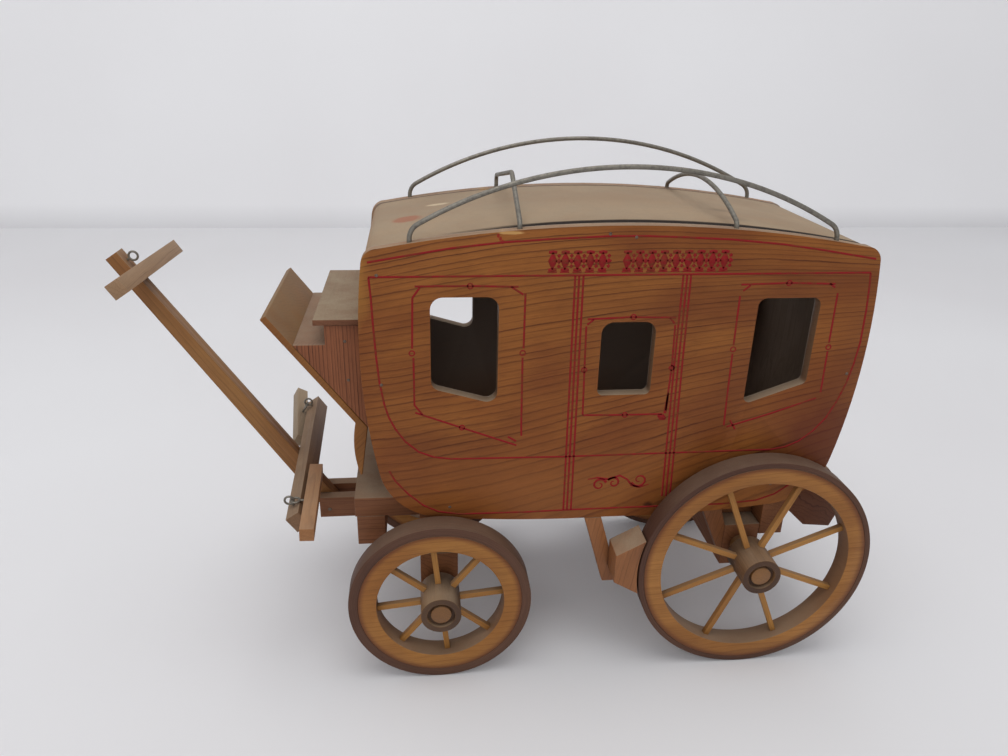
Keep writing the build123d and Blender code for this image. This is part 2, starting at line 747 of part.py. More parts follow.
def nail_hole(foot_point, direction, set_depth, height):
    """Bore a nail's hole in the part being built."""
    with BuildSketch(Plane(origin=foot_point - direction * set_depth, z_dir=direction)) as bore:
        Circle(nail_radius + nail_clearance)
    extrude(bore.sketch, amount=set_depth + height, mode=Mode.SUBTRACT)


def seat_of(along):
    """Where a crossbar seats on the tongue's upper face."""
    return on_tongue(along, tongue_half_depth(along))


with BuildPart() as tongue:
    with BuildSketch(tongue_plane):
        with BuildLine():
            tail_half = tongue_half_depth(0)
            tip_half = tongue_half_depth(tongue_length)
            Line((0, -tail_half), (tongue_length, -tip_half))
            Line((tongue_length, -tip_half), (tongue_length, tip_half))
            Line((tongue_length, tip_half), (0, tail_half))
            ThreePointArc((0, tail_half), (-tail_half, 0), (0, -tail_half))
        make_face()
    extrude(amount=tongue_width / 2, both=True)
    with BuildSketch(tongue_plane):
        Circle(nail_radius + nail_clearance)
    extrude(amount=tongue_width, both=True, mode=Mode.SUBTRACT)
    for along in (doubletree_along, yoke_along):
        nail_hole(seat_of(along), -off, bore_spare, 2 * tongue_half_depth(along) + bore_spare)
    with BuildSketch(Plane(origin=seat_of(tip_eye_along) - off * tip_eye_set, z_dir=off)):
        Circle(eye_wire + nail_clearance)
    extrude(amount=2 * tip_eye_set, mode=Mode.SUBTRACT)
save(tongue, "tongue")

across = Vector(0, 1, 0)
pin_reach = fork_width / 2 + point_spare
nail("tongue_pin", pivot_point, across, pin_reach, pin_reach)


def screw_eye(ring_centre, hole_axis, shank, shank_length):
    """Add a screw eye: a wire ring, and a shank that leaves it along a direction."""
    with Locations(Plane(origin=ring_centre, z_dir=hole_axis)):
        Torus(eye_ring, eye_wire)
    with BuildSketch(Plane(origin=ring_centre + shank * eye_ring, z_dir=shank)) as wire:
        Circle(eye_wire)
    extrude(wire.sketch, amount=shank_length)


def eye_hole(face_point, inward):
    """Bore a screw eye's hole in the part being built."""
    with BuildSketch(Plane(origin=face_point - inward * bore_spare, z_dir=inward)) as bore:
        Circle(eye_wire + nail_clearance)
    extrude(bore.sketch, amount=bore_spare + eye_set + point_spare, mode=Mode.SUBTRACT)


with BuildPart() as tongue_eye:
    shank_length = eye_stand - eye_ring + tip_eye_set - point_spare
    screw_eye(seat_of(tip_eye_along) + off * eye_stand, across, -off, shank_length)
save(tongue_eye, "tongue_eye")

# ---- yoke and doubletree --------------------------------------------------------------
def turned_bar(turn):
    """Directions across and ahead of a crossbar that is turned on its nail."""
    turn = radians(turn)
    return across * cos(turn) - ahead * sin(turn), ahead * cos(turn) + across * sin(turn)


eye_spread = doubletree_length / 2 - eye_inset     # doubletree's eyes from the middle
tree_across, tree_ahead = turned_bar(doubletree_turn)
tree_middle = (
    seat_of(doubletree_along)
    + off * (board_gap + doubletree_size[1] / 2)
    + across * doubletree_shift
)
crossbars = [
    ("yoke", yoke_along, yoke_length, yoke_size, yoke_shift, yoke_turn),
    (
        "doubletree", doubletree_along, doubletree_length, doubletree_size,
        doubletree_shift, doubletree_turn,
    ),
]
for bar_name, along, length, size, shift, turn in crossbars:
    seat = seat_of(along)
    with BuildPart() as bar:
        with BuildSketch(Plane(origin=seat + off * board_gap, x_dir=ahead, z_dir=off)):
            with Locations((0, -shift)):
                Rectangle(size[0], length, rotation=-turn)
        extrude(amount=size[1])
        nail_hole(seat, off, bore_spare, board_gap + size[1] - nail_short + point_spare)
        if bar_name == "doubletree":
            for _, side in sides:
                eye_face = tree_middle + tree_ahead * size[0] / 2
                eye_hole(eye_face + tree_across * side * eye_spread, -tree_ahead)
    save(bar, bar_name)
    head_depth = 2 * tongue_half_depth(along) + board_gap
    nail(f"{bar_name}_pin", seat, -off, head_depth, board_gap + size[1] - nail_short)

eye_centre = tree_middle + tree_ahead * (doubletree_size[0] / 2 + eye_stand)
with BuildPart() as doubletree_eyes:
    for _, side in sides:
        shank_length = eye_stand - eye_ring + eye_set - point_spare
        screw_eye(eye_centre + tree_across * side * eye_spread, tree_across, -tree_ahead, shank_length)
save(doubletree_eyes, "doubletree_eyes")

# ---- singletrees ------------------------------------------------------------------------
for side_name, side, swing, link, skew in singletrees:
    level = Vector(cos(radians(swing)), 0, sin(radians(swing)))
    hang = tree_ahead * level.dot(ahead) + off * level.dot(off)
    hinge_point = eye_centre + tree_across * side * eye_spread
    cross_ring = tree_across.cross(hang)
    lengthwise = tree_across * cos(radians(skew)) + cross_ring * sin(radians(skew))
    bar_centre = hinge_point + hang * link
    ring_centre = hinge_point + hang * (2 * eye_ring - 2 * eye_wire - eye_play)
    with BuildPart() as singletree:
        with BuildSketch(Plane(origin=bar_centre, x_dir=hang, z_dir=lengthwise)):
            Rectangle(singletree_size, singletree_size)
        extrude(amount=singletree_length / 2, both=True)
        eye_hole(bar_centre - hang * singletree_size / 2, hang)
    save(singletree, f"singletree_{side_name}")
    with BuildPart() as singletree_eye:
        ring_end = ring_centre + hang * eye_ring
        bar_face = bar_centre - hang * singletree_size / 2
        shank_length = (bar_face - ring_end).length + eye_set - point_spare
        screw_eye(ring_centre, cross_ring, hang, shank_length)
    save(singletree_eye, f"singletree_eye_{side_name}")

# ---- eye under the rear boot ----------------------------------------------------------------
rear_eye_z = rear_boot_bottom_z + rear_eye_rise
with BuildPart() as rear_eye:
    slant = (slope_top_z - rear_eye_z) / (slope_top_z - slope_foot[1])
    eye_foot = Vector(boot_front_x + rear_boot_slope[0] * slant, rear_eye_y, rear_eye_z)
    rear_ring = eye_foot - Vector(eye_stand + rear_eye_stand, 0, 0)
    screw_eye(rear_ring, across, Vector(1, 0, 0), eye_stand - eye_ring)
save(rear_eye, "rear_eye")
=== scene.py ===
import json
import math

import bpy
from mathutils import Matrix, Vector

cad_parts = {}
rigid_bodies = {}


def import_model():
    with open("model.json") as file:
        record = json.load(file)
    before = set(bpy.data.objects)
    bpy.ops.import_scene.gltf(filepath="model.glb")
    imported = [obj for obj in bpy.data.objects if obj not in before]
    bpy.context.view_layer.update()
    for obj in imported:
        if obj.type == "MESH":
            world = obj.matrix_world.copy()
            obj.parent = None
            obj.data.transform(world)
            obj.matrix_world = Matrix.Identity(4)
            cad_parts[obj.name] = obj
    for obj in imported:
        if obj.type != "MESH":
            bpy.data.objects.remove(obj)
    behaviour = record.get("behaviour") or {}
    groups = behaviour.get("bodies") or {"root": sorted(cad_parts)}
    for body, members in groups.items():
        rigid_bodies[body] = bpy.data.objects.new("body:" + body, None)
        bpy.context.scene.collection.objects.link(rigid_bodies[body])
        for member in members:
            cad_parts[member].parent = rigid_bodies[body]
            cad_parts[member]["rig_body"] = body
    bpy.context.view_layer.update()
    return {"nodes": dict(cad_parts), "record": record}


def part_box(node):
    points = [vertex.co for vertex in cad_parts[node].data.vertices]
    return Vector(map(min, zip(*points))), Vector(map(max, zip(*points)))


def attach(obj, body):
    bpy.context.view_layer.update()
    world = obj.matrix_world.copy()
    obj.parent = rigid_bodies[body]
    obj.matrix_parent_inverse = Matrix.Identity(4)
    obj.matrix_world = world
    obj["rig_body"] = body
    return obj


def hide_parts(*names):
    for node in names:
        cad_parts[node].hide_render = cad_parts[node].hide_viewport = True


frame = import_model()
nodes = frame["nodes"]
mm = 0.001

cameraSet = {
    "place": (-120.614, -474.754, 381.037),     # mm
    "yaw": 0.11775, "pitch": 0.40826, "roll": 0.02484,
    "lens": 27.781, "sensor": 36.0,
}


def placeCamera(s):
    yaw, pitch, roll = s["yaw"], s["pitch"], s["roll"]
    ahead = Vector((math.sin(yaw) * math.cos(pitch), math.cos(yaw) * math.cos(pitch), -math.sin(pitch)))
    level = Vector((math.cos(yaw), -math.sin(yaw), 0))
    rise = level.cross(ahead)
    right = level * math.cos(roll) + rise * math.sin(roll)
    up = rise * math.cos(roll) - level * math.sin(roll)
    bpy.ops.object.camera_add(location=[v * mm for v in s["place"]])
    camera = bpy.context.object
    camera.name = "viewCamera"
    camera.data.lens = s["lens"]
    camera.data.sensor_width = s["sensor"]
    camera.data.clip_start = 0.01
    camera.rotation_euler = Matrix((right, up, -ahead)).transposed().to_euler()
    bpy.context.scene.camera = camera


placeCamera(cameraSet)
print("stage: camera placed")


def newGroup(name, inputs, outputs):
    # an empty shader group, with the sockets it takes in and gives out
    group = bpy.data.node_groups.new(name, "ShaderNodeTree")
    for label, kind, value in inputs:
        socket = group.interface.new_socket(name=label, in_out="INPUT", socket_type="NodeSocket" + kind)
        if value is not None:
            socket.default_value = value
    for label, kind in outputs:
        group.interface.new_socket(name=label, in_out="OUTPUT", socket_type="NodeSocket" + kind)
    return group, group.nodes.new("NodeGroupInput").outputs, group.nodes.new("NodeGroupOutput").inputs


def add(tree, kind, inputs=None, **settings):
    # a node with its settings, and with sockets filled or linked by name or number
    node = tree.nodes.new("ShaderNode" + kind)
    for key, value in settings.items():
        setattr(node, key, value)
    for key, value in (inputs or {}).items():
        if isinstance(value, bpy.types.NodeSocket):
            tree.links.new(value, node.inputs[key])
        else:
            node.inputs[key].default_value = value
    return node


def maths(tree, operation, *values):
    return add(tree, "Math", dict(enumerate(values)), operation=operation).outputs[0]


def remap(tree, value, low, high, toLow=0.0, toHigh=1.0, smooth=False):
    # a value from one range brought to another, and held at its ends
    inputs = {"Value": value, "From Min": low, "From Max": high, "To Min": toLow, "To Max": toHigh}
    way = "SMOOTHSTEP" if smooth else "LINEAR"
    return add(tree, "MapRange", inputs, interpolation_type=way).outputs[0]


def blendColour(tree, share, first, second, mode="MIX"):
    # Mix holds its share at socket 0 and its two colours at 6 and 7
    return add(tree, "Mix", {0: share, 6: first, 7: second}, data_type="RGBA", blend_type=mode).outputs[2]


def lay(tree, colour, tint, share, strength):
    # a tint over a colour, where its share is, at its strength
    return blendColour(tree, maths(tree, "MULTIPLY", share, strength), colour, tint)


def shadeBy(tree, colour, level):
    # a colour made darker or lighter by one number
    grey = add(tree, "CombineColor", {0: level, 1: level, 2: level}).outputs[0]
    return blendColour(tree, 1.0, colour, grey, "MULTIPLY")


def vectors(tree, operation, *values):
    # a length or a dot product comes out as a number, anything else as a vector
    node = add(tree, "VectorMath", dict(enumerate(values)), operation=operation)
    return node.outputs["Value" if operation in ("LENGTH", "DOT_PRODUCT") else "Vector"]


def noise3(tree, vector, scale, detail, roughness=0.5):
    return add(tree, "TexNoise", {"Vector": vector, "Scale": scale, "Detail": detail,
                                  "Roughness": roughness}).outputs[0]


def ramp(tree, value, stops):
    node = add(tree, "ValToRGB", {"Fac": value})
    band = node.color_ramp
    while len(band.elements) < len(stops):
        band.elements.new(0.5)
    for element, (place, level) in zip(band.elements, stops):
        element.position = place
        element.color = (level, level, level, 1)
    return node.outputs[0]


def rgb(r, g, b):
    # a colour as seen on a screen, 0 to 255, made linear
    def linear(v):
        v /= 255
        return v / 12.92 if v <= 0.04045 else ((v + 0.055) / 1.055) ** 2.4
    return (linear(r), linear(g), linear(b), 1)


# Noises of the grain: scale along and across it, detail, step of the seed, roughness.
grainNoises = {
    "uneven": (2.0, 120.0, 1.0, 1.7, 0.5),        # some rings are wide, some narrow
    "wave": (24.0, 40.0, 1.0, 4.1, 0.5),          # long waves of a ring
    "jitter": (210.0, 160.0, 2.0, 6.3, 0.6),      # ragged edge of a line
    "fading": (18.0, 90.0, 2.0, 8.8, 0.5),        # a line comes and goes
    "fibres": (50.0, 1500.0, 3.0, 7.7, 0.65),
    "pores": (160.0, 3600.0, 1.0, 9.3, 0.5),
    "blotch": (11.0, 22.0, 2.0, 12.9, 0.6),
}
grainSet = {
    "tilt": 0.45,                               # how far the rings lean across the board
    "profile": [(0.0, 0.0), (0.5, 0.04), (0.74, 0.20), (0.86, 0.95), (0.93, 1.0), (1.0, 0.0)],
    "jitter": 0.16, "darkest": (0.5, 1.0), "fading": (0.3, 0.62, 0.45, 1.0),
    "pores": (0.60, 0.74), "poreTint": 0.3, "poreDepth": 0.3,
    "blotch": (0.36, 0.66), "streak": (0.3, 0.7, 0.86, 1.12),
    "lineRise": 0.5, "fibreRise": 0.5, "seedPitch": 7.0,
}


def makeGrain(s):
    # sawn softwood: the grain runs along X of the vector, the rings are stacked along Z
    tree, start, end = newGroup("sawnGrain", [
        ("Vector", "Vector", None), ("Rings", "Float", 130.0), ("Warp", "Float", 1.0),
        ("Uneven", "Float", 2.6), ("Lines", "Float", 0.8), ("Early", "Color", rgb(200, 130, 60)),
        ("Late", "Color", rgb(110, 60, 30)), ("Stain", "Color", rgb(150, 80, 40)),
        ("Seed", "Float", 0.0),
    ], [("Color", "Color"), ("Height", "Float"), ("Line", "Float")])
    place = add(tree, "SeparateXYZ", {0: start["Vector"]}).outputs

    def noise(kind):
        along, across, detail, seedStep, roughness = grainNoises[kind]
        seed = maths(tree, "MULTIPLY_ADD", start["Seed"], s["seedPitch"], seedStep)
        stretched = add(tree, "CombineXYZ", {
            0: maths(tree, "MULTIPLY_ADD", place[0], along, seed),
            1: maths(tree, "MULTIPLY", place[1], across),
            2: maths(tree, "MULTIPLY", place[2], across)}).outputs[0]
        return noise3(tree, stretched, 1.0, detail, roughness)

    leaning = maths(tree, "MULTIPLY_ADD", place[1], s["tilt"], place[2])
    stack = maths(tree, "MULTIPLY", leaning, start["Rings"])
    uneven = maths(tree, "MULTIPLY", noise("uneven"), start["Uneven"])
    wave = maths(tree, "MULTIPLY", noise("wave"), start["Warp"])
    jitter = maths(tree, "MULTIPLY", noise("jitter"), s["jitter"])
    ringAt = maths(tree, "ADD", maths(tree, "ADD", stack, maths(tree, "ADD", uneven, wave)), jitter)
    late = ramp(tree, maths(tree, "FRACT", ringAt), s["profile"])
    ringNumber = maths(tree, "FLOOR", ringAt)
    lottery = add(tree, "TexWhiteNoise", {"W": ringNumber}, noise_dimensions="1D").outputs[0]
    fading = remap(tree, noise("fading"), *s["fading"])
    weight = maths(tree, "MULTIPLY", remap(tree, lottery, 0, 1, *s["darkest"]), fading)
    line = maths(tree, "MULTIPLY", maths(tree, "MULTIPLY", late, weight), start["Lines"])
    fibres = noise("fibres")
    pores = remap(tree, noise("pores"), *s["pores"])
    blotch = remap(tree, noise("blotch"), *s["blotch"], smooth=True)
    ground = blendColour(tree, blotch, start["Early"], start["Stain"])
    lined = blendColour(tree, line, ground, start["Late"])
    streaked = shadeBy(tree, lined, remap(tree, fibres, *s["streak"]))
    final = lay(tree, streaked, start["Late"], pores, s["poreTint"])
    tree.links.new(final, end["Color"])
    lineRise = maths(tree, "MULTIPLY", line, s["lineRise"])
    rise = maths(tree, "ADD", lineRise, maths(tree, "MULTIPLY", fibres, s["fibreRise"]))
    sunk = maths(tree, "MULTIPLY", pores, s["poreDepth"])
    tree.links.new(maths(tree, "SUBTRACT", rise, sunk), end["Height"])
    tree.links.new(line, end["Line"])
    return tree


tenths = 10.0        # the figure's curves are worked out in tenths of a metre


def makeFigure():
    # the plain-sawn figure of a side panel: level at the top, fanning out low down at the rear
    tree, start, end = newGroup("panelFigure", [
        ("Vector", "Vector", None), ("Lean", "Float", 0.073), ("Fan", "Float", 0.23),
        ("Level", "Float", 0.26), ("Arch", "Float", -0.077), ("Widen", "Float", 2.07),
    ], [("Vector", "Vector")])
    place = add(tree, "SeparateXYZ", {0: start["Vector"]}).outputs
    along = maths(tree, "MULTIPLY", place[0], tenths)
    low = maths(tree, "MULTIPLY", maths(tree, "SUBTRACT", start["Level"], place[2]), tenths)
    slope = maths(tree, "MULTIPLY_ADD", low, start["Fan"], start["Lean"])
    curve = maths(tree, "MULTIPLY_ADD", low, start["Fan"], start["Arch"])
    square = maths(tree, "MULTIPLY", maths(tree, "MULTIPLY", along, along), 0.5)
    arched = maths(tree, "MULTIPLY", square, curve)
    lift = maths(tree, "ADD", maths(tree, "MULTIPLY", along, slope), arched)
    height = maths(tree, "SUBTRACT", place[2], maths(tree, "DIVIDE", lift, tenths))
    below = maths(tree, "MAXIMUM", maths(tree, "SUBTRACT", start["Level"], height), 0.0)
    widened = maths(tree, "MULTIPLY_ADD", maths(tree, "MULTIPLY", below, below), start["Widen"], height)
    out = add(tree, "CombineXYZ", {0: place[0], 1: place[1], 2: widened}).outputs[0]
    tree.links.new(out, end["Vector"])
    return tree


def makeTurned():
    # places round an axle: how far out, and vectors with the grain radial or round the wheel
    tree, start, end = newGroup("aroundAxle", [
        ("Vector", "Vector", None), ("Centre", "Vector", (0.0, 0.0, 0.0)), ("Reach", "Float", 0.03),
    ], [("Radius", "Float"), ("Radial", "Vector"), ("Round", "Vector"), ("Along", "Vector")])
    apart = vectors(tree, "SUBTRACT", start["Vector"], start["Centre"])
    place = add(tree, "SeparateXYZ", {0: apart}).outputs
    flat = add(tree, "CombineXYZ", {0: place[0], 2: place[2]}).outputs[0]
    radius = vectors(tree, "LENGTH", flat)
    arc = maths(tree, "MULTIPLY", maths(tree, "ARCTAN2", place[2], place[0]), start["Reach"])
    tree.links.new(radius, end["Radius"])
    for label, way in (("Radial", (radius, place[1], arc)), ("Round", (arc, place[1], radius)),
                       ("Along", (place[1], place[0], place[2]))):
        tree.links.new(add(tree, "CombineXYZ", dict(enumerate(way))).outputs[0], end[label])
    return tree


markNoise = (2.2, 3.0, 0.6)      # scale over the mark's size, detail, roughness


def makeMark():
    # one soft-edged mark on a surface, round its centre
    tree, start, end = newGroup("spotMark", [
        ("Vector", "Vector", None), ("Centre", "Vector", (0.0, 0.0, 0.0)),
        ("Size", "Vector", (0.01, 0.01, 0.01)), ("Ragged", "Float", 0.5), ("Soft", "Float", 0.3),
    ], [("Mask", "Float")])
    apart = vectors(tree, "SUBTRACT", start["Vector"], start["Centre"])
    scaled = vectors(tree, "DIVIDE", apart, start["Size"])
    uneven = maths(tree, "SUBTRACT", noise3(tree, scaled, *markNoise), 0.5)
    ragged = maths(tree, "MULTIPLY", uneven, start["Ragged"])
    reach = maths(tree, "ADD", vectors(tree, "LENGTH", scaled), ragged)
    edge = maths(tree, "DIVIDE", maths(tree, "SUBTRACT", 1.0, reach), start["Soft"])
    tree.links.new(add(tree, "Clamp", {0: edge}).outputs[0], end["Mask"])
    return tree


dustSet = {
    "facing": (0.35, 0.9),                       # how far up a face looks before it holds dust
    "patchDetail": 5.0, "patchRough": 0.62, "spread": (0.25, 0.7, 0.55, 1.1),
    "speckScale": 1500.0, "speckDetail": 2.0, "specks": (0.35, 0.65, 0.85, 1.05),
}


def makeDust(s):
    # dust lies on faces that look up at rest, thicker in patches
    tree, start, end = newGroup("settledDust", [
        ("Vector", "Vector", None), ("Normal", "Vector", None), ("Amount", "Float", 0.6),
        ("Patch", "Float", 60.0),
    ], [("Mask", "Float")])
    up = add(tree, "SeparateXYZ", {0: start["Normal"]}).outputs[2]
    facing = remap(tree, up, *s["facing"], smooth=True)
    patches = noise3(tree, start["Vector"], start["Patch"], s["patchDetail"], s["patchRough"])
    specks = noise3(tree, start["Vector"], s["speckScale"], s["speckDetail"])
    spread = maths(tree, "MULTIPLY", facing, remap(tree, patches, *s["spread"]))
    mask = maths(tree, "MULTIPLY", spread, remap(tree, specks, *s["specks"]))
    held = maths(tree, "MULTIPLY", mask, start["Amount"])
    tree.links.new(add(tree, "Clamp", {0: held}).outputs[0], end["Mask"])
    return tree


wearAndShadeSet = {
    "bend": (0.995, 0.80), "chipNoise": (260.0, 4.0, 0.7), "chips": (0.35, 0.62, 0.25, 1.0),
    "hollow": (0.75, 0.15),
}


def makeWearAndShade(s):
    # rubbed edges, and grime kept in corners, darkened there also as painted shade
    tree, start, end = newGroup("edgeWearAndCornerShade", [
        ("Vector", "Vector", None), ("Reach", "Float", 0.0012), ("Depth", "Float", 0.007),
        ("Amount", "Float", 0.6), ("Grime", "Float", 0.5),
    ], [("Edge", "Float"), ("CornerGrimeAndShade", "Float")])
    soft = add(tree, "Bevel", {"Radius": start["Reach"]}, samples=2).outputs[0]
    hard = add(tree, "NewGeometry").outputs["Normal"]
    bent = remap(tree, vectors(tree, "DOT_PRODUCT", soft, hard), *s["bend"])
    chips = noise3(tree, start["Vector"], *s["chipNoise"])
    broken = maths(tree, "MULTIPLY", bent, remap(tree, chips, *s["chips"]))
    edge = maths(tree, "MULTIPLY", broken, start["Amount"])
    tree.links.new(add(tree, "Clamp", {0: edge}).outputs[0], end["Edge"])
    # painted shade: ambient occlusion finds corners and recesses, and darkens them for grime and for the
    # shade that falls there
    hollow = add(tree, "AmbientOcclusion", {"Distance": start["Depth"]}, samples=3).outputs["AO"]
    cornerGrimeShade = remap(tree, hollow, *s["hollow"])
    tree.links.new(maths(tree, "MULTIPLY", cornerGrimeShade, start["Grime"]), end["CornerGrimeAndShade"])
    return tree


grainGroup = makeGrain(grainSet)
figureGroup = makeFigure()
turnedGroup = makeTurned()
markGroup = makeMark()
dustGroup = makeDust(dustSet)
wearAndShadeGroup = makeWearAndShade(wearAndShadeSet)
print("stage: shader groups made")


def middleOf(node):
    # the middle of a CAD node's box, to a tenth of a millimetre
    low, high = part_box(node)
    return tuple(round((a + b) / 2, 4) for a, b in zip(low, high))


frontAxle = middleOf("front_axle")
rearAxle = middleOf("rear_axle")
bodyCentre = (-0.0045, 0.0, 0.2)
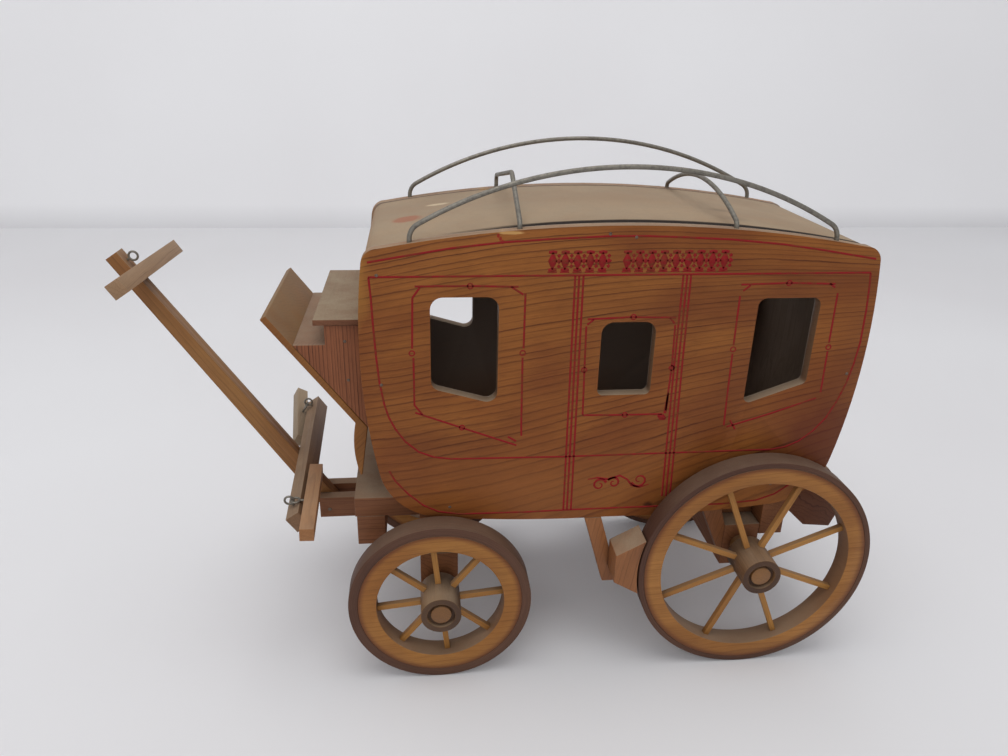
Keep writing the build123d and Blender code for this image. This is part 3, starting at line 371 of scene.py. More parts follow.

# Wood finishes. The grain is "level" where it lies along X, then turned by turn, "figure" on the
# side panels, "round" on a tyre, and "spoked" where it runs out along the spokes and along the hub.
# Rings are per metre, and the seed makes each board its own. Marks lie under the dust and spots on
# it: centre, half size, colour, strength, softness. Some marks are painted light and some spots painted
# shade. Jamb: colour and the height it stops at. Inner: colour and the Y it starts at. Bleed: the radii
# it grows between, its colour and strength.
woods = {
    "panelPly": {
        "grain": "figure", "rings": 290, "warp": 0.7, "uneven": 1.1, "lines": 0.9, "seed": 3.0,
        "early": rgb(148, 91, 42), "late": rgb(74, 33, 18), "stain": rgb(126, 71, 34),
        "dust": 0.75, "edge": 0.25, "grimeAndShade": 0.3, "rough": 0.42, "coat": 0.0,
        "shine": 0.18, "jamb": (rgb(120, 95, 74), 0.268), "inner": (rgb(150, 134, 122), 0.0612),
        "marksAndPaintedLight": [
            ((0.128, 0, 0.160), (0.050, 1.0, 0.050), rgb(94, 40, 26), 0.75, 0.7),
            # painted light: the lower middle of the panel made paler, for light thrown up from the floor
            ((-0.045, 0, 0.128), (0.105, 1.0, 0.036), rgb(170, 108, 54), 0.35, 0.9),
            ((0.136, 0, 0.235), (0.030, 1.0, 0.055), rgb(116, 62, 34), 0.35, 0.8),
            ((0.02, 0, 0.105), (0.045, 1.0, 0.030), rgb(112, 58, 34), 0.35, 0.7),
            ((-0.158, 0, 0.262), (0.014, 1.0, 0.032), rgb(168, 118, 56), 0.7, 0.6),
            ((-0.0705, 0, 0.2879), (0.0078, 1.0, 0.0010), rgb(196, 150, 92), 0.9, 0.3),
            ((-0.0774, 0, 0.2864), (0.0010, 1.0, 0.0015), rgb(140, 30, 24), 0.9, 0.4),
            ((-0.0762, 0, 0.2847), (0.0010, 1.0, 0.0015), rgb(140, 30, 24), 0.9, 0.4),
            ((-0.0750, 0, 0.2830), (0.0010, 1.0, 0.0015), rgb(140, 30, 24), 0.9, 0.4),
            ((0.021, 0, 0.1145), (0.0040, 1.0, 0.0030), rgb(52, 26, 20), 0.8, 0.6),
        ]},
    "roofPly": {
        "grain": "level", "turn": (0, 90, 0), "rings": 60, "warp": 2.0, "lines": 0.25, "seed": 8.0,
        "early": rgb(170, 142, 112), "late": rgb(134, 104, 80), "stain": rgb(156, 126, 98),
        "dust": 0.72, "dustTint": rgb(154, 139, 119),
        "edge": 0.2, "grimeAndShade": 0.4, "rough": 0.66, "coat": 0.0,
        "spots": [
            # painted shadow: a dark line along the gap between the roof's near edge and the side panel
            ((0.0330, -0.0592, 0.286), (0.1500, 0.0092, 1.0), rgb(30, 21, 18), 0.97, 0.25),
            ((-0.1263, -0.0040, 0.286), (0.0100, 0.0095, 1.0), rgb(158, 104, 82), 0.8, 0.35),
            ((-0.1070, 0.0270, 0.286), (0.0085, 0.0032, 1.0), rgb(206, 186, 156), 0.75, 0.35),
            ((0.0670, -0.0080, 0.286), (0.0100, 0.0070, 1.0), rgb(104, 92, 78), 0.35, 0.7),
            ((0.0660, -0.0330, 0.286), (0.0120, 0.0090, 1.0), rgb(104, 92, 78), 0.3, 0.8),
            ((0.0100, 0.0100, 0.286), (0.0600, 0.0300, 1.0), rgb(150, 122, 96), 0.3, 0.9),
        ]},
    "bootBoard": {
        "grain": "level", "turn": (0, 90, 0), "rings": 480, "warp": 0.4, "lines": 1.0, "seed": 5.0,
        "early": rgb(142, 86, 56), "late": rgb(40, 20, 16), "stain": rgb(118, 68, 44),
        "dust": 0.85, "dustTint": rgb(146, 128, 108),
        "edge": 0.3, "grimeAndShade": 0.5, "rough": 0.55, "coat": 0.0},
    "seatBoard": {
        "grain": "level", "turn": (0, 0, 90), "rings": 300, "warp": 0.8, "lines": 0.5, "seed": 5.5,
        "early": rgb(128, 84, 58), "late": rgb(80, 46, 32), "stain": rgb(112, 70, 48),
        "dust": 0.92, "dustTint": rgb(150, 135, 113),
        "edge": 0.3, "grimeAndShade": 0.5, "rough": 0.6, "coat": 0.0},
    "footPly": {
        "grain": "level", "turn": (0, 46, 0), "rings": 420, "warp": 1.0, "lines": 0.5, "seed": 2.0,
        "early": rgb(148, 98, 48), "late": rgb(98, 57, 30), "stain": rgb(130, 82, 40),
        "dust": 0.85, "dustTint": rgb(136, 118, 94),
        "edge": 0.3, "grimeAndShade": 0.45, "rough": 0.5, "coat": 0.0},
    "wallBoard": {
        "grain": "level", "turn": (0, 90, 0), "rings": 180, "warp": 1.2, "lines": 0.6, "seed": 6.0,
        "early": rgb(158, 136, 118), "late": rgb(118, 98, 84), "stain": rgb(142, 122, 104),
        "outer": rgb(198, 147, 117), "dust": 0.6, "edge": 0.2, "grimeAndShade": 0.4, "rough": 0.7, "coat": 0.0},
    "rearBoard": {
        "grain": "level", "turn": (0, 0, 90), "rings": 260, "warp": 1.2, "lines": 0.7, "seed": 6.5,
        "early": rgb(116, 72, 48), "late": rgb(62, 34, 24), "stain": rgb(98, 58, 38),
        "dust": 0.8, "edge": 0.2, "grimeAndShade": 0.6, "rough": 0.6, "coat": 0.0},
    "gearBoard": {
        "grain": "level", "turn": (0, 0, 0), "rings": 260, "warp": 1.2, "lines": 0.6, "seed": 9.0,
        "early": rgb(136, 88, 58), "late": rgb(76, 44, 30), "stain": rgb(118, 74, 48),
        "dust": 0.8, "edge": 0.25, "grimeAndShade": 0.6, "rough": 0.55, "coat": 0.0},
    "gearCross": {
        "grain": "level", "turn": (0, 0, 90), "rings": 300, "warp": 1.2, "lines": 0.6, "seed": 4.0,
        "early": rgb(140, 90, 56), "late": rgb(78, 44, 28), "stain": rgb(122, 76, 46),
        "dust": 0.85, "edge": 0.25, "grimeAndShade": 0.6, "rough": 0.55, "coat": 0.0},
    "gearUpright": {
        "grain": "level", "turn": (0, 80, 0), "rings": 260, "warp": 1.2, "lines": 0.6, "seed": 7.0,
        "early": rgb(148, 96, 58), "late": rgb(86, 50, 30), "stain": rgb(128, 80, 48),
        "dust": 0.8, "edge": 0.25, "grimeAndShade": 0.6, "rough": 0.52, "coat": 0.1},
    "tongueWood": {
        "grain": "level", "turn": (0, -56.5, 0), "rings": 330, "warp": 0.7, "lines": 0.7, "seed": 1.0,
        "early": rgb(152, 107, 60), "late": rgb(98, 60, 33), "stain": rgb(136, 90, 48),
        "dust": 0.75, "edge": 0.35, "grimeAndShade": 0.4, "rough": 0.5, "coat": 0.1},
    "yokeWood": {
        "grain": "level", "turn": (0, 0, 90), "rings": 330, "warp": 0.8, "lines": 0.4, "seed": 2.5,
        "early": rgb(166, 134, 104), "late": rgb(118, 90, 68), "stain": rgb(152, 120, 90),
        "dust": 0.45, "edge": 0.3, "grimeAndShade": 0.4, "rough": 0.55, "coat": 0.0},
    "treeWood": {
        "grain": "level", "turn": (0, 0, 90), "rings": 300, "warp": 0.8, "lines": 0.4, "seed": 2.8,
        "early": rgb(134, 102, 76), "late": rgb(86, 60, 44), "stain": rgb(116, 86, 62),
        "dust": 0.5, "edge": 0.3, "grimeAndShade": 0.4, "rough": 0.55, "coat": 0.0},
    "swingWood": {
        "grain": "level", "turn": (0, 0, 90), "rings": 300, "warp": 0.8, "lines": 0.4, "seed": 3.8,
        "early": rgb(160, 112, 72), "late": rgb(106, 68, 42), "stain": rgb(144, 96, 60),
        "dust": 0.4, "edge": 0.3, "grimeAndShade": 0.4, "rough": 0.55, "coat": 0.0},
    "greySwingWood": {
        "grain": "level", "turn": (0, 0, 90), "rings": 300, "warp": 0.8, "lines": 0.4, "seed": 4.8,
        "early": rgb(168, 148, 122), "late": rgb(116, 98, 78), "stain": rgb(150, 130, 106),
        "dust": 0.4, "edge": 0.3, "grimeAndShade": 0.4, "rough": 0.55, "coat": 0.0},
    "frontRimWood": {
        "grain": "level", "turn": (0, 4, 0), "rings": 240, "warp": 1.2, "lines": 0.55, "seed": 11.0,
        "early": rgb(164, 112, 56), "late": rgb(112, 66, 32), "stain": rgb(146, 94, 45),
        "cut": rgb(126, 94, 70), "centre": frontAxle, "bleed": (0.0470, 0.0515, rgb(96, 50, 32), 0.85),
        "dust": 0.45, "edge": 0.2, "grimeAndShade": 0.3, "rough": 0.5, "coat": 0.0},
    "rearRimWood": {
        "grain": "level", "turn": (0, 4, 0), "rings": 240, "warp": 1.2, "lines": 0.55, "seed": 12.0,
        "early": rgb(168, 115, 60), "late": rgb(114, 68, 34), "stain": rgb(148, 97, 48),
        "cut": rgb(126, 94, 70), "centre": rearAxle, "bleed": (0.0680, 0.0729, rgb(96, 50, 32), 0.85),
        "dust": 0.45, "edge": 0.2, "grimeAndShade": 0.3, "rough": 0.5, "coat": 0.0},
    "frontHubWood": {
        "grain": "spoked", "centre": frontAxle, "rings": 500, "warp": 0.6, "lines": 0.4, "seed": 13.0,
        "early": rgb(168, 118, 60), "late": rgb(112, 70, 36), "stain": rgb(150, 102, 52),
        "hub": rgb(132, 99, 66), "ring": rgb(80, 58, 44),
        "dust": 0.5, "edge": 0.25, "grimeAndShade": 0.5, "rough": 0.5, "coat": 0.0},
    "rearHubWood": {
        "grain": "spoked", "centre": rearAxle, "rings": 500, "warp": 0.6, "lines": 0.4, "seed": 15.0,
        "early": rgb(176, 126, 66), "late": rgb(118, 74, 38), "stain": rgb(158, 108, 56),
        "hub": rgb(132, 96, 64), "ring": rgb(72, 50, 38),
        "dust": 0.4, "edge": 0.25, "grimeAndShade": 0.5, "rough": 0.5, "coat": 0.0},
    "frontTyreWood": {
        "grain": "round", "centre": frontAxle, "rings": 700, "warp": 0.6, "lines": 0.4, "seed": 19.0,
        "early": rgb(98, 68, 52), "late": rgb(60, 38, 30), "stain": rgb(82, 54, 42),
        "dust": 0.2, "edge": 0.15, "grimeAndShade": 0.3, "rough": 0.6, "coat": 0.0},
    "rearTyreWood": {
        "grain": "round", "centre": rearAxle, "rings": 700, "warp": 0.6, "lines": 0.4, "seed": 21.0,
        "early": rgb(98, 68, 52), "late": rgb(60, 38, 30), "stain": rgb(82, 54, 42),
        "dust": 0.22, "edge": 0.15, "grimeAndShade": 0.3, "rough": 0.6, "coat": 0.0},
    "dowelWood": {
        "grain": "level", "turn": (0, 0, 90), "rings": 500, "warp": 0.8, "lines": 0.4, "seed": 23.0,
        "early": rgb(142, 98, 54), "late": rgb(96, 64, 38), "stain": rgb(124, 84, 46),
        "dust": 0.3, "edge": 0.2, "grimeAndShade": 0.4, "rough": 0.32, "coat": 0.3},
}
dustColour = rgb(164, 145, 122)
# painted shade: this dark colour, laid in corners and recesses, stands for grime and for the shade there
grimeAndShadeColour = rgb(44, 28, 20)


def useGroup(tree, group, **values):
    # one of the shared groups, with its sockets filled or linked
    return add(tree, "Group", values, node_tree=group).outputs


def newMaterial(name):
    material = bpy.data.materials.new(name)
    material.use_nodes = True
    tree = material.node_tree
    return material, tree, tree.nodes["Principled BSDF"], add(tree, "TexCoord").outputs


def addBump(tree, shader, height, strength, distance):
    bump = add(tree, "Bump", {"Height": height, "Strength": strength, "Distance": distance})
    tree.links.new(bump.outputs[0], shader.inputs["Normal"])


hubTurning = {"radius": 0.0127, "edge": 0.0002, "face": (0.5, 0.8), "endRing": 0.85}
tints = {
    "sideways": (0.7, 0.4),                      # a face that looks across the axles
    "jamb": 0.85, "jambFade": 0.003, "outerFade": 0.02, "inner": 0.9, "innerFade": 0.0008, "cut": 0.85,
}
surface = {
    "lineDull": 0.1, "dustDull": 0.4, "bump": (0.3, 0.0003), "coatRough": 0.3, "shine": 0.25,
    "rubbedLift": 1.25,                          # rubbed edges are this much paler than the early wood
}


def axleFacing(tree, place):
    # near 1 on a face that looks along the axles, near 0 on one that looks across them
    return maths(tree, "ABSOLUTE", add(tree, "SeparateXYZ", {0: place["Normal"]}).outputs[1])


def woodGrain(tree, w, place):
    # the grain as the piece was sawn or turned: its colour, height and ring lines
    finish = {"Rings": w["rings"], "Warp": w["warp"], "Lines": w["lines"], "Early": w["early"],
              "Late": w["late"], "Stain": w["stain"], "Seed": w["seed"]}
    if "uneven" in w:
        finish["Uneven"] = w["uneven"]
    if w["grain"] == "level":
        turn = [math.radians(a) for a in w["turn"]]
        laid = add(tree, "Mapping", {"Vector": place["Object"], "Rotation": turn}).outputs[0]
    elif w["grain"] == "figure":
        laid = useGroup(tree, figureGroup, Vector=place["Object"])["Vector"]
    else:
        around = useGroup(tree, turnedGroup, Vector=place["Object"], Centre=w["centre"])
        laid = around["Round" if w["grain"] == "round" else "Radial"]
    grain = useGroup(tree, grainGroup, Vector=laid, **finish)
    colour = grain["Color"]
    if w["grain"] == "spoked":
        hubFinish = dict(finish, Early=w["hub"], Stain=w["ring"], Late=w["ring"])
        turnings = useGroup(tree, grainGroup, Vector=around["Along"], **hubFinish)
        hubEdge = hubTurning["radius"]
        onHub = remap(tree, around["Radius"], hubEdge, hubEdge - hubTurning["edge"])
        colour = blendColour(tree, onHub, colour, turnings["Color"])
        face = remap(tree, axleFacing(tree, place), *hubTurning["face"])
        colour = lay(tree, colour, w["ring"], maths(tree, "MULTIPLY", face, onHub), hubTurning["endRing"])
    return colour, grain["Height"], grain["Line"]


def woodTints(tree, w, place, colour):
    # sawn openings, the cabin's inner and outer faces, and the tyre's stain on its rim
    sideways = remap(tree, axleFacing(tree, place), *tints["sideways"])
    spot = add(tree, "SeparateXYZ", {0: place["Object"]}).outputs
    if "jamb" in w:
        tint, topZ = w["jamb"]
        below = remap(tree, spot[2], topZ + tints["jambFade"], topZ)
        colour = lay(tree, colour, tint, maths(tree, "MULTIPLY", sideways, below), tints["jamb"])
    if "outer" in w:
        apart = vectors(tree, "SUBTRACT", place["Object"], bodyCentre)
        out = vectors(tree, "DOT_PRODUCT", apart, place["Normal"])
        stained = blendColour(tree, 1.0, colour, w["outer"], "MULTIPLY")
        colour = blendColour(tree, remap(tree, out, 0.0, tints["outerFade"]), colour, stained)
    if "inner" in w:
        tint, innerY = w["inner"]
        share = remap(tree, maths(tree, "ABSOLUTE", spot[1]), innerY + tints["innerFade"], innerY)
        colour = lay(tree, colour, tint, share, tints["inner"])
    if "bleed" in w:
        nearRadius, farRadius, tint, strength = w["bleed"]
        around = useGroup(tree, turnedGroup, Vector=place["Object"], Centre=w["centre"])
        share = remap(tree, around["Radius"], nearRadius, farRadius, smooth=True)
        colour = lay(tree, colour, tint, share, strength)
        colour = lay(tree, colour, w["cut"], sideways, tints["cut"])
    return colour


def woodMarks(tree, place, colour, marksAndPaintedLight):
    for centre, size, tint, strength, soft in marksAndPaintedLight:
        mark = useGroup(tree, markGroup, Vector=place["Object"], Centre=centre, Size=size, Soft=soft)
        colour = lay(tree, colour, tint, mark["Mask"], strength)
    return colour


def makeWood(name, w, s):
    material, tree, shader, place = newMaterial(name)
    colour, height, line = woodGrain(tree, w, place)
    colour = woodTints(tree, w, place, colour)
    colour = woodMarks(tree, place, colour, w.get("marksAndPaintedLight", []))
    dust = useGroup(tree, dustGroup, Vector=place["Object"], Normal=place["Normal"], Amount=w["dust"])
    wearAndShade = useGroup(tree, wearAndShadeGroup, Vector=place["Object"], Amount=w["edge"], Grime=w["grimeAndShade"])
    rubbed = [min(1.0, s["rubbedLift"] * c) for c in w["early"][:3]] + [1]
    worn = blendColour(tree, wearAndShade["Edge"], colour, rubbed)
    dusty = blendColour(tree, dust["Mask"], worn, w.get("dustTint", dustColour))
    spotted = woodMarks(tree, place, dusty, w.get("spots", []))
    # painted shade: corners and recesses darkened by ambient occlusion, for grime and shade together
    grimyAndShaded = blendColour(tree, wearAndShade["CornerGrimeAndShade"], spotted, grimeAndShadeColour)
    tree.links.new(grimyAndShaded, shader.inputs["Base Color"])
    polish = remap(tree, line, 0, 1, w["rough"], w["rough"] + s["lineDull"])
    dull = maths(tree, "MULTIPLY_ADD", dust["Mask"], s["dustDull"], polish)
    tree.links.new(add(tree, "Clamp", {0: dull}).outputs[0], shader.inputs["Roughness"])
    addBump(tree, shader, height, *s["bump"])
    shader.inputs["Coat Weight"].default_value = w["coat"]
    shader.inputs["Coat Roughness"].default_value = s["coatRough"]
    shader.inputs["Specular IOR Level"].default_value = w.get("shine", s["shine"])
    return material


steels = {
    "wire": {"bright": rgb(138, 133, 123), "dark": rgb(108, 103, 95), "metal": (0.8, 0.44)},
    "nail": {"bright": rgb(116, 98, 84), "dark": rgb(78, 64, 54), "metal": (0.5, 0.275)},
}
steelSet = {"spotNoise": (420.0, 5.0, 0.7), "spots": (0.42, 0.66), "rubNoise": (60.0, 3.0),
            "rough": (0.3, 0.7, 0.42, 0.64), "bump": (0.3, 0.0001)}


def makeMetal(name, steel):
    # dull steel: dark spots that are less metallic, and a patchy polish
    material, tree, shader, place = newMaterial(name)
    spots = noise3(tree, place["Object"], *steelSet["spotNoise"])
    rub = noise3(tree, place["Object"], *steelSet["rubNoise"])
    share = remap(tree, spots, *steelSet["spots"], smooth=True)
    tree.links.new(blendColour(tree, share, steel["bright"], steel["dark"]), shader.inputs["Base Color"])
    tree.links.new(remap(tree, rub, *steelSet["rough"]), shader.inputs["Roughness"])
    tree.links.new(remap(tree, share, 0, 1, *steel["metal"]), shader.inputs["Metallic"])
    addBump(tree, shader, spots, *steelSet["bump"])
    return material


inkLook = {
    "red": rgb(142, 30, 33), "under": rgb(122, 52, 34), "stretch": (0.5, 1, 1.6),
    "gapNoise": (520.0, 4.0, 0.65), "fadeNoise": (28.0, 2.0), "fade": (0.35, 0.65, -0.10, 0.10),
    "gaps": (0.48, 0.66), "rough": (0.3, 0.7, 0.6, 0.8), "shine": 0.15, "bump": (0.2, 0.0001),
}


def makeInk(name, s):
    # printed line: thin in places, so the wood shows through
    material, tree, shader, place = newMaterial(name)
    stretched = add(tree, "Mapping", {"Vector": place["Object"], "Scale": s["stretch"]}).outputs[0]
    gaps = noise3(tree, stretched, *s["gapNoise"])
    fade = remap(tree, noise3(tree, place["Object"], *s["fadeNoise"]), *s["fade"])
    share = remap(tree, maths(tree, "ADD", gaps, fade), *s["gaps"])
    tree.links.new(blendColour(tree, share, s["red"], s["under"]), shader.inputs["Base Color"])
    tree.links.new(remap(tree, gaps, *s["rough"]), shader.inputs["Roughness"])
    shader.inputs["Specular IOR Level"].default_value = s["shine"]
    addBump(tree, shader, gaps, *s["bump"])
    return material


woodMaterials = {name: makeWood(name, w, surface) for name, w in woods.items()}
wireSteel = makeMetal("wireSteel", steels["wire"])
nailSteel = makeMetal("nailSteel", steels["nail"])
redInk = makeInk("redInk", inkLook)
print("stage: materials made")

slots = {part["node"]: part["material_slot"] for part in frame["record"]["subparts"]}
softening = {      # mm and degrees
    "width": 0.5, "segments": 2, "bendAngle": 32, "smoothAngle": 30, "merge": 0.002, "flat": 0.5,
}


def deselectAll():
    bpy.ops.object.select_all(action="DESELECT")


def selectOnly(piece):
    deselectAll()
    piece.select_set(True)
    bpy.context.view_layer.objects.active = piece


def faceOutwards():
    bpy.ops.object.mode_set(mode="EDIT")
    bpy.ops.mesh.select_all(action="SELECT")
    bpy.ops.mesh.normals_make_consistent(inside=False)
    bpy.ops.object.mode_set(mode="OBJECT")


def finishPiece(piece, material, body):
    piece.data.materials.clear()
    piece.data.materials.append(material)
    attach(piece, body)


def soften(node, material, s):
    # a merged copy of the node's solid stands for it, with its edges rounded
    source = nodes[node]
    piece = bpy.data.objects.new(node + "_wood", source.data.copy())
    bpy.context.collection.objects.link(piece)
    selectOnly(piece)
    bpy.ops.object.mode_set(mode="EDIT")
    bpy.ops.mesh.select_all(action="SELECT")
    bpy.ops.mesh.remove_doubles(threshold=s["merge"] * mm)
    bpy.ops.mesh.dissolve_limited(angle_limit=math.radians(s["flat"]))
    bpy.ops.object.mode_set(mode="OBJECT")
    bevel = piece.modifiers.new("soften", "BEVEL")
    bevel.width = s["width"] * mm
    bevel.segments = s["segments"]
    bevel.limit_method = "ANGLE"
    bevel.angle_limit = math.radians(s["bendAngle"])
    bevel.use_clamp_overlap = True
    bpy.ops.object.modifier_apply(modifier=bevel.name)
    bpy.ops.object.shade_smooth_by_angle(angle=math.radians(s["smoothAngle"]))
    finishPiece(piece, material, source["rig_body"])
    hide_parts(node)


softened = {
    "panelPly": ["side_panel_left", "side_panel_right"],
    "roofPly": ["roof"],
    "bootBoard": ["boot_block"],
    "seatBoard": ["seat_board"],
    "footPly": ["footboard"],
    "wallBoard": ["front_wall", "rear_wall", "cabin_floor"],
    "rearBoard": ["rear_boot"],
    "gearBoard": ["perch", "front_platform", "front_transom"],
    "gearCross": ["front_axle_block", "front_bolster", "rear_axle_block", "rear_bolster",
                  "rear_stay"],
    "gearUpright": ["rear_brace_left", "rear_brace_right", "brake_hanger_left", "brake_hanger_right",
                    "brake_shoe_left", "brake_shoe_right"],
    "tongueWood": ["tongue"],
    "yokeWood": ["yoke"],
    "treeWood": ["doubletree"],
    "swingWood": ["singletree_left"],
    "greySwingWood": ["singletree_right"],
    "frontRimWood": ["front_rim_left", "front_rim_right"],
    "rearRimWood": ["rear_rim_left", "rear_rim_right"],
    "frontHubWood": ["front_hub_left", "front_hub_right"],
    "rearHubWood": ["rear_hub_left", "rear_hub_right"],
    "frontTyreWood": ["front_tyre_left", "front_tyre_right"],
    "rearTyreWood": ["rear_tyre_left", "rear_tyre_right"],
    "dowelWood": ["front_axle", "rear_axle"],
}
for wood, members in softened.items():
    for node in members:
        soften(node, woodMaterials[wood], softening)
    print("stage: softened", wood)

for node, thing in nodes.items():
    if slots[node] == "wire_steel":
        thing.data.materials.clear()
        thing.data.materials.append(nailSteel if node.endswith("_pin") else wireSteel)

# Printed lines on the side panels: points (x, z) in mm on a panel's face, the same on both sides.
panelLines = {
    "top stripe": [(-147, 272.2), (-138, 273.8), (-122.7, 276.4), (-102, 279.8), (-74.6, 282.8),
                   (-47, 284.6), (-17, 286), (5, 286), (23, 285.4), (52, 284), (82, 281.2),
                   (106, 277.8), (138.4, 272.6)],
    "belt": [(-146.8, 264.2), (137, 264.6)],
    "border": [(-146.6, 264), (-145.8, 252), (-145.4, 238), (-144.4, 218), (-143.2, 203), (-141, 189),
               (-138.8, 181), (-135.4, 173.4), (-129.6, 164.6), (-122, 157.6), (-113.2, 153.8),
               (-103, 152.2), (-36, 151.2), (27, 151.4), (96, 151.4), (105, 153), (113, 156.6),
               (121, 163.4), (128, 172.4), (133, 184), (136.6, 196), (138.6, 208), (139.8, 222),
               (139.2, 242), (138, 256), (137, 264.4)],
    "foot": [(-139.8, 145.4), (-136.4, 138.4), (-129, 129), (-119.8, 120.4), (-110.8, 115.6),
             (-98, 113.3), (-55.6, 112.8), (-29, 113.2), (7, 113.2), (70, 113), (92, 114.6),
             (104, 119), (116, 128)],
    "door front outer": [(-34.6, 264), (-33.8, 173), (-33.2, 113.4)],
    "door front middle": [(-32.4, 264), (-31.5, 173), (-30.9, 113.4)],
    "door front inner": [(-30.0, 264), (-29.0, 173), (-28.4, 113.4)],
    "door rear inner": [(26.6, 264), (27.4, 208), (29.4, 120.5)],
    "door rear middle": [(28.8, 264), (29.8, 208), (32.0, 120.5)],
    "door rear outer": [(31.0, 264), (32.2, 208), (34.6, 120.5)],
    "door frame top": [(-26.0, 238.8), (0.3, 239.8), (25.2, 239.1)],
    "door frame front": [(-26.5, 234.6), (-25.9, 209.3), (-25.1, 178.8)],
    "door frame rear": [(25.2, 234.6), (26.0, 209.6), (25.4, 180.5)],
    "door frame foot": [(-25.1, 178.8), (0.5, 178.3), (23.4, 178.2)],
    "door notch front": [(-26.0, 235.6), (-22.4, 238.6)],
    "door notch rear": [(21.6, 238.8), (24.9, 235.4)],
    "front frame top": [(-122.2, 258.9), (-92, 258.8), (-65.8, 258.2)],
    "front notch front": [(-123.6, 252.4), (-119.4, 258.4)],
    "front notch rear": [(-69.8, 258.2), (-62.8, 253.6)],
    "front frame front upper": [(-123.6, 252.4), (-124.4, 223)],
    "front frame front lower": [(-123.8, 217.4), (-123.9, 188.2), (-119.4, 182)],
    "front frame foot": [(-123.6, 183.4), (-97.2, 173), (-64.1, 160)],
    "front frame rear upper": [(-61.8, 254.4), (-61.8, 222)],
    "front frame rear lower": [(-62.2, 216.4), (-61.6, 174), (-61.3, 166.3)],
    "front tick": [(-69.4, 166), (-64.4, 162.8)],
    "rear frame top": [(61, 258.2), (89.2, 258.9), (117, 258.1)],
    "rear notch front": [(62.6, 254.4), (66.6, 257.8)],
    "rear notch rear": [(113.6, 258.4), (117.2, 256)],
    "rear frame front upper": [(61.2, 251.6), (61.7, 221.6)],
    "rear frame front lower": [(61.8, 216.4), (62.4, 190), (63.1, 169.4)],
    "rear frame rear upper": [(119.5, 252.6), (120.2, 222)],
    "rear frame rear lower": [(120.4, 216.6), (121.2, 190)],
    "rear frame foot": [(65, 168.2), (92, 176.6), (119, 186.2)],
    "rear tick": [(66.6, 172.6), (70.6, 166.4)],
}
panelRings = [(-124.6, 220.2), (-62.2, 219.2), (-92.2, 258.8), (0.3, 239.8), (-26, 208), (26, 208),
              (89.2, 258.9), (61.8, 219), (120.4, 219.3), (0.5, 178.3), (-96.6, 172.9)]
panelFace = round(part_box("side_panel_right")[1][1] / mm, 2)
ink = {      # mm, with the rings' widths as shares of the line's
    "width": 1.15, "proud": 0.05, "sunk": 0.04, "ringRadius": 1.5, "ringWidth": 0.7, "ringCorners": 12,
}

# a row of lozenges and leaves; each stroke is (place, width), up the panel or along it
ornament = {
    "from": -51.0, "to": 52.0, "pitch": 6.9, "gap": (-14.0, -8.0), "middle": 272.4, "half": 4.9,
    "lozenge": [(-4.9, 0.3), (-1.7, 3.2), (0, 4.4), (1.7, 3.2), (4.9, 0.3)],
    "cap": [(-2.3, 1.2), (0, 1.9), (2.3, 1.2)],
    "leaf": [(-1.7, 0.3), (0, 2.8), (1.7, 0.3)],
    "bud": [(-1.1, 0.4), (0, 2.0), (1.1, 0.4)], "budAt": 2.9,
    "foot": [(-2.6, 0.7), (2.6, 0.7)], "footDrop": 1.3,
}

# the scroll low on the door: each curl has its centre, reach, turns and first angle
doorScroll = {
    "curls": [((-11.5, 130.4), 4.6, 1.2, 20), ((-2.6, 131.6), 4.2, -1.2, 150),
              ((13.6, 133.0), 5.2, 1.25, 200)],
    "steps": 14, "shrink": 0.8, "startWidth": 1.5, "endWidth": 0.5,
    "tail": [(-19, 134.6, 0.5), (-13, 135.6, 1.1), (-6, 134.2, 1.3), (1, 136.6, 1.2), (6, 133.6, 1.0),
             (9, 129.4, 1.2), (14, 127.6, 1.0), (20, 129.6, 0.4)],
}
doorHandle = [[(22.2, 174.4, 0.6), (23.0, 175.6, 5.0), (23.6, 176.8, 5.2), (24.2, 178.2, 0.8)],
              [(25.0, 178.6, 1.6), (25.6, 186, 1.6), (25.8, 192, 0.8)]]


def curl(centre, reach, turns, start, s):
    # a spiral that narrows to its inner end, as (x, z, width)
    points = []
    for k in range(s["steps"]):
        share = k / (s["steps"] - 1)
        angle = math.radians(start) + turns * 2 * math.pi * share
        out = reach * (1 - s["shrink"] * share)
        width = s["startWidth"] + (s["endWidth"] - s["startWidth"]) * share
        points.append((centre[0] + out * math.cos(angle), centre[1] + out * math.sin(angle), width))
    return points


def upright(x, z, stroke):
    return [(x, z + up, width) for up, width in stroke]


def level(x, z, stroke):
    return [(x + along, z, width) for along, width in stroke]


def ornamentRow(s):
    # lozenges with leaves between them, over a fine broken line
    strokes = []
    middle, low, high = s["middle"], s["middle"] - s["half"], s["middle"] + s["half"]
    x = s["from"] + s["pitch"] / 2
    while x < s["to"]:
        if not s["gap"][0] < x < s["gap"][1]:
            strokes.append(upright(x, middle, s["lozenge"]))
            strokes += [level(x, end, s["cap"]) for end in (low, high)]
            leafX = x + s["pitch"] / 2
            strokes.append(level(leafX, middle, s["leaf"]))
            strokes += [upright(leafX, middle + side * s["budAt"], s["bud"]) for side in (-1, 1)]
            strokes.append(level(x, low - s["footDrop"], s["foot"]))
        x += s["pitch"]
    return strokes


def panelStrokes():
    # every line of the drawing as ((x, z, width) points, closed or not)
    strokes = [([(x, z, 1.0) for x, z in points], False) for points in panelLines.values()]
    turn = [2 * math.pi * k / ink["ringCorners"] for k in range(ink["ringCorners"])]
    reach, width = ink["ringRadius"], ink["ringWidth"]
    for x, z in panelRings:
        strokes.append(([(x + reach * math.cos(a), z + reach * math.sin(a), width) for a in turn], True))
    curls = [curl(*one, doorScroll) for one in doorScroll["curls"]]
    others = ornamentRow(ornament) + curls + [doorScroll["tail"]] + doorHandle
    return strokes + [(points, False) for points in others]


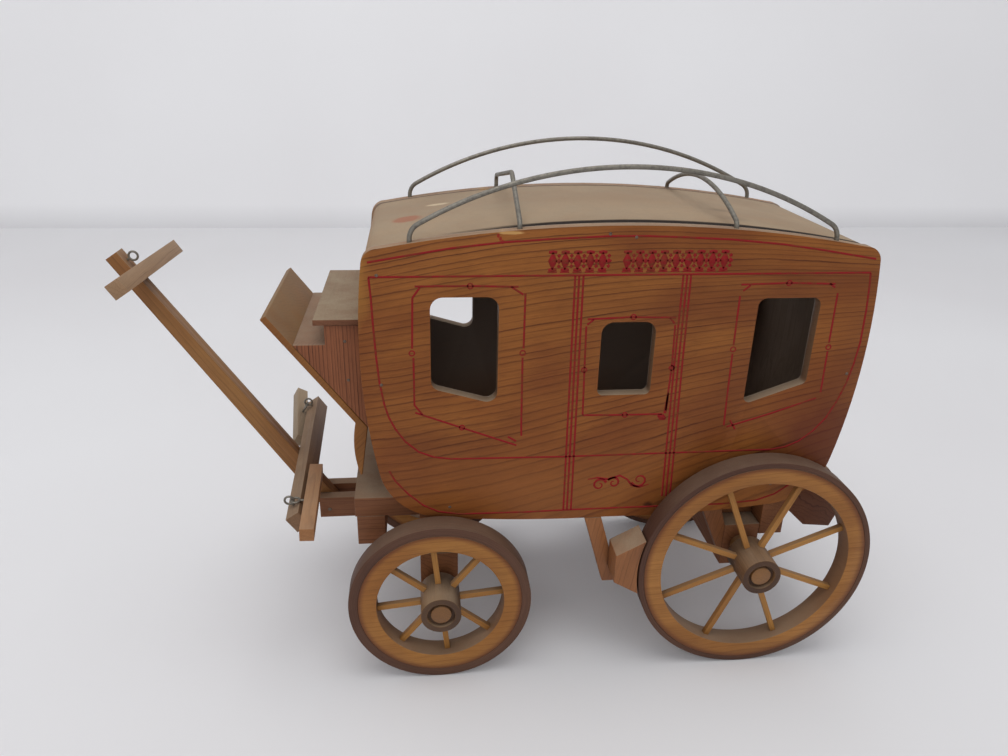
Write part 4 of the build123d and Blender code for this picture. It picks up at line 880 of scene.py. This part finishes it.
def makeNib(name, half):
    # the square section that is swept along the lines
    nib = bpy.data.curves.new(name, "CURVE")
    corners = nib.splines.new("POLY")
    corners.points.add(3)
    square = ((-half, -half), (half, -half), (half, half), (-half, half))
    for point, (x, y) in zip(corners.points, square):
        point.co = (x, y, 0, 1)
    corners.use_cyclic_u = True
    shape = bpy.data.objects.new(name, nib)
    bpy.context.collection.objects.link(shape)
    return shape


def printLines(name, side, s):
    # thin strips swept along the lines and laid on a panel's outer face; side is -1 left, 1 right
    deselectAll()
    nib = makeNib(name + "Profile", s["width"] / 2 * mm)
    drawing = bpy.data.curves.new(name, "CURVE")
    drawing.dimensions = "3D"
    drawing.twist_mode = "Z_UP"
    drawing.bevel_mode = "OBJECT"
    drawing.bevel_object = nib
    drawing.use_fill_caps = True
    for points, closed in panelStrokes():
        spline = drawing.splines.new("POLY")
        spline.points.add(len(points) - 1)
        spline.use_cyclic_u = closed
        for point, (x, z, width) in zip(spline.points, points):
            point.co = (x * mm, z * mm, 0, 1)
            point.radius = width
    piece = bpy.data.objects.new(name, drawing)
    bpy.context.collection.objects.link(piece)
    selectOnly(piece)
    bpy.ops.object.convert(target="MESH")
    piece = bpy.context.object
    for corner in piece.data.vertices:
        x, z, up = corner.co
        lift = s["proud"] if up > 0 else -s["sunk"]
        corner.co = (x, side * (panelFace + lift) * mm, z)
    faceOutwards()
    bpy.data.objects.remove(nib)
    finishPiece(piece, redInk, "coach")


printLines("printed_lines_left", -1, ink)
printLines("printed_lines_right", 1, ink)
print("stage: panel lines printed")

nailHead = {"radius": 0.95, "height": 0.3, "rings": 8, "segments": 16}
bootFace = round(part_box("boot_block")[1][1] / mm, 2)
nailPlaces = {      # (x, z) in mm on the face named, the same on both sides
    "panel_nails": (panelFace, [(-142.4, 265.1), (-142.2, 201.3), (-2.1, 285.4), (135.5, 201.9),
                                (-16.7, 287.2), (-104, 118.6), (100, 126.6)]),
    "boot_nails": (bootFace, [(-162.7, 221.5), (-162.0, 197.3)]),
}


def makeNailHead(s):
    # a flattened ball about the origin, its short axis along Z
    deselectAll()
    bpy.ops.mesh.primitive_uv_sphere_add(segments=s["segments"], ring_count=s["rings"], radius=1.0)
    bpy.ops.object.mode_set(mode="EDIT")
    bpy.ops.transform.resize(value=(s["radius"] * mm, s["radius"] * mm, s["height"] * mm))
    bpy.ops.object.mode_set(mode="OBJECT")
    return bpy.context.object


def nailHeads(name, side, faceY, places):
    # heads pressed into a face: one is modelled, and its copies are joined; side is -1 left, 1 right
    first = makeNailHead(nailHead)
    heads = [first]
    for _ in places[1:]:
        head = bpy.data.objects.new(name, first.data.copy())
        bpy.context.collection.objects.link(head)
        heads.append(head)
    for head, (x, z) in zip(heads, places):
        for corner in head.data.vertices:
            across, up, out = corner.co
            corner.co = (x * mm + across, side * (faceY * mm + out), z * mm - side * up)
    deselectAll()
    for head in heads:
        head.select_set(True)
    bpy.context.view_layer.objects.active = first
    bpy.ops.object.join()
    piece = bpy.context.object
    piece.name = name
    faceOutwards()
    bpy.ops.object.shade_smooth()
    finishPiece(piece, nailSteel, "coach")


for name, (faceY, places) in nailPlaces.items():
    nailHeads(name + "_left", -1, faceY, places)
    nailHeads(name + "_right", 1, faceY, places)
print("stage: nail heads made")

stageSet = {
    "half": 4.0, "wallAt": 1.24, "wallTop": 4.0, "drop": 0.0002,
    "tones": (rgb(224, 223, 225), rgb(230, 230, 232)), "cloudNoise": (1.6, 2.0), "cloud": (0.3, 0.7),
    "rough": 0.9, "shine": 0.1,
    "shadeFrom": -0.40, "shadeTo": -0.10, "shade": 0.87,       # the floor is darker towards the front
    "lift": 0.02, "wallLift": 0.14, "liftEnd": 0.05,      # the glow of the floor and of the wall, as seen
}
roomLight = {"tint": rgb(240, 241, 244), "strength": 0.58, "behind": rgb(219, 219, 221)}
lamps = {
    "keyLamp": {"at": (-0.25, -0.2, 2.6), "aim": (0, 0, 0.1), "size": 2.2, "power": 27.0,
                "tint": (1.0, 0.99, 0.97)},
    "fillLamp": {"at": (-0.6, -2.0, 1.5), "aim": (0, 0, 0.12), "size": 1.6, "power": 9.0,
                 "tint": (0.97, 0.98, 1.0)},
}


def makeStage(s):
    # a pale paper floor and the wall behind it, both seen a little lighter than they are lit
    deselectAll()
    bpy.ops.mesh.primitive_plane_add(size=2.0, location=(0, 0, 0))
    floor = bpy.context.object
    floor.name = "paleFloor"
    for corner in floor.data.vertices:
        x, y, z = corner.co
        corner.co = (x * s["half"], s["wallAt"] if y > 0 else -s["half"], -s["drop"])
    bpy.ops.object.mode_set(mode="EDIT")
    bpy.ops.mesh.select_all(action="DESELECT")
    bpy.ops.mesh.select_mode(type="EDGE")
    bpy.ops.object.mode_set(mode="OBJECT")
    for edge in floor.data.edges:
        edge.select = all(floor.data.vertices[v].co.y > 0 for v in edge.vertices)
    bpy.ops.object.mode_set(mode="EDIT")
    bpy.ops.mesh.extrude_region_move(TRANSFORM_OT_translate={"value": (0, 0, s["wallTop"])})
    bpy.ops.object.mode_set(mode="OBJECT")
    material, tree, shader, place = newMaterial("paleFloor")
    cloud = remap(tree, noise3(tree, place["Object"], *s["cloudNoise"]), *s["cloud"])
    tone = blendColour(tree, cloud, *s["tones"])
    spot = add(tree, "SeparateXYZ", {0: place["Object"]}).outputs
    shade = remap(tree, spot[1], s["shadeFrom"], s["shadeTo"], s["shade"], 1.0, smooth=True)
    tree.links.new(shadeBy(tree, tone, shade), shader.inputs["Base Color"])
    shader.inputs["Roughness"].default_value = s["rough"]
    shader.inputs["Specular IOR Level"].default_value = s["shine"]
    seen = add(tree, "LightPath").outputs["Is Camera Ray"]
    lift = remap(tree, spot[2], 0.0, s["liftEnd"], s["lift"], s["wallLift"])
    tree.links.new(maths(tree, "MULTIPLY", seen, lift), shader.inputs["Emission Strength"])
    shader.inputs["Emission Color"].default_value = rgb(255, 255, 255)
    floor.data.materials.append(material)


def makeWorld(s):
    world = bpy.data.worlds.new("softRoom")
    bpy.context.scene.world = world
    world.use_nodes = True
    tree = world.node_tree
    tree.nodes.clear()
    paths = add(tree, "LightPath").outputs
    seen = maths(tree, "MAXIMUM", paths["Is Camera Ray"], paths["Is Transmission Ray"])
    room = add(tree, "Background", {"Color": s["tint"], "Strength": s["strength"]})
    back = add(tree, "Background", {"Color": s["behind"], "Strength": 1.0})
    mix = add(tree, "MixShader", {0: seen, 1: room.outputs[0], 2: back.outputs[0]})
    add(tree, "OutputWorld", {0: mix.outputs[0]})


def makeLamp(name, s):
    deselectAll()
    bpy.ops.object.light_add(type="AREA", location=s["at"])
    lamp = bpy.context.object
    lamp.name = name
    lamp.data.shape = "DISK"
    lamp.data.size = s["size"]
    lamp.data.energy = s["power"]
    lamp.data.color = s["tint"]
    lamp.rotation_euler = (Vector(s["aim"]) - Vector(s["at"])).to_track_quat("-Z", "Y").to_euler()


makeStage(stageSet)
makeWorld(roomLight)
for name, settings in lamps.items():
    makeLamp(name, settings)
bpy.context.scene.view_settings.view_transform = "Standard"
print("stage: floor and light set")
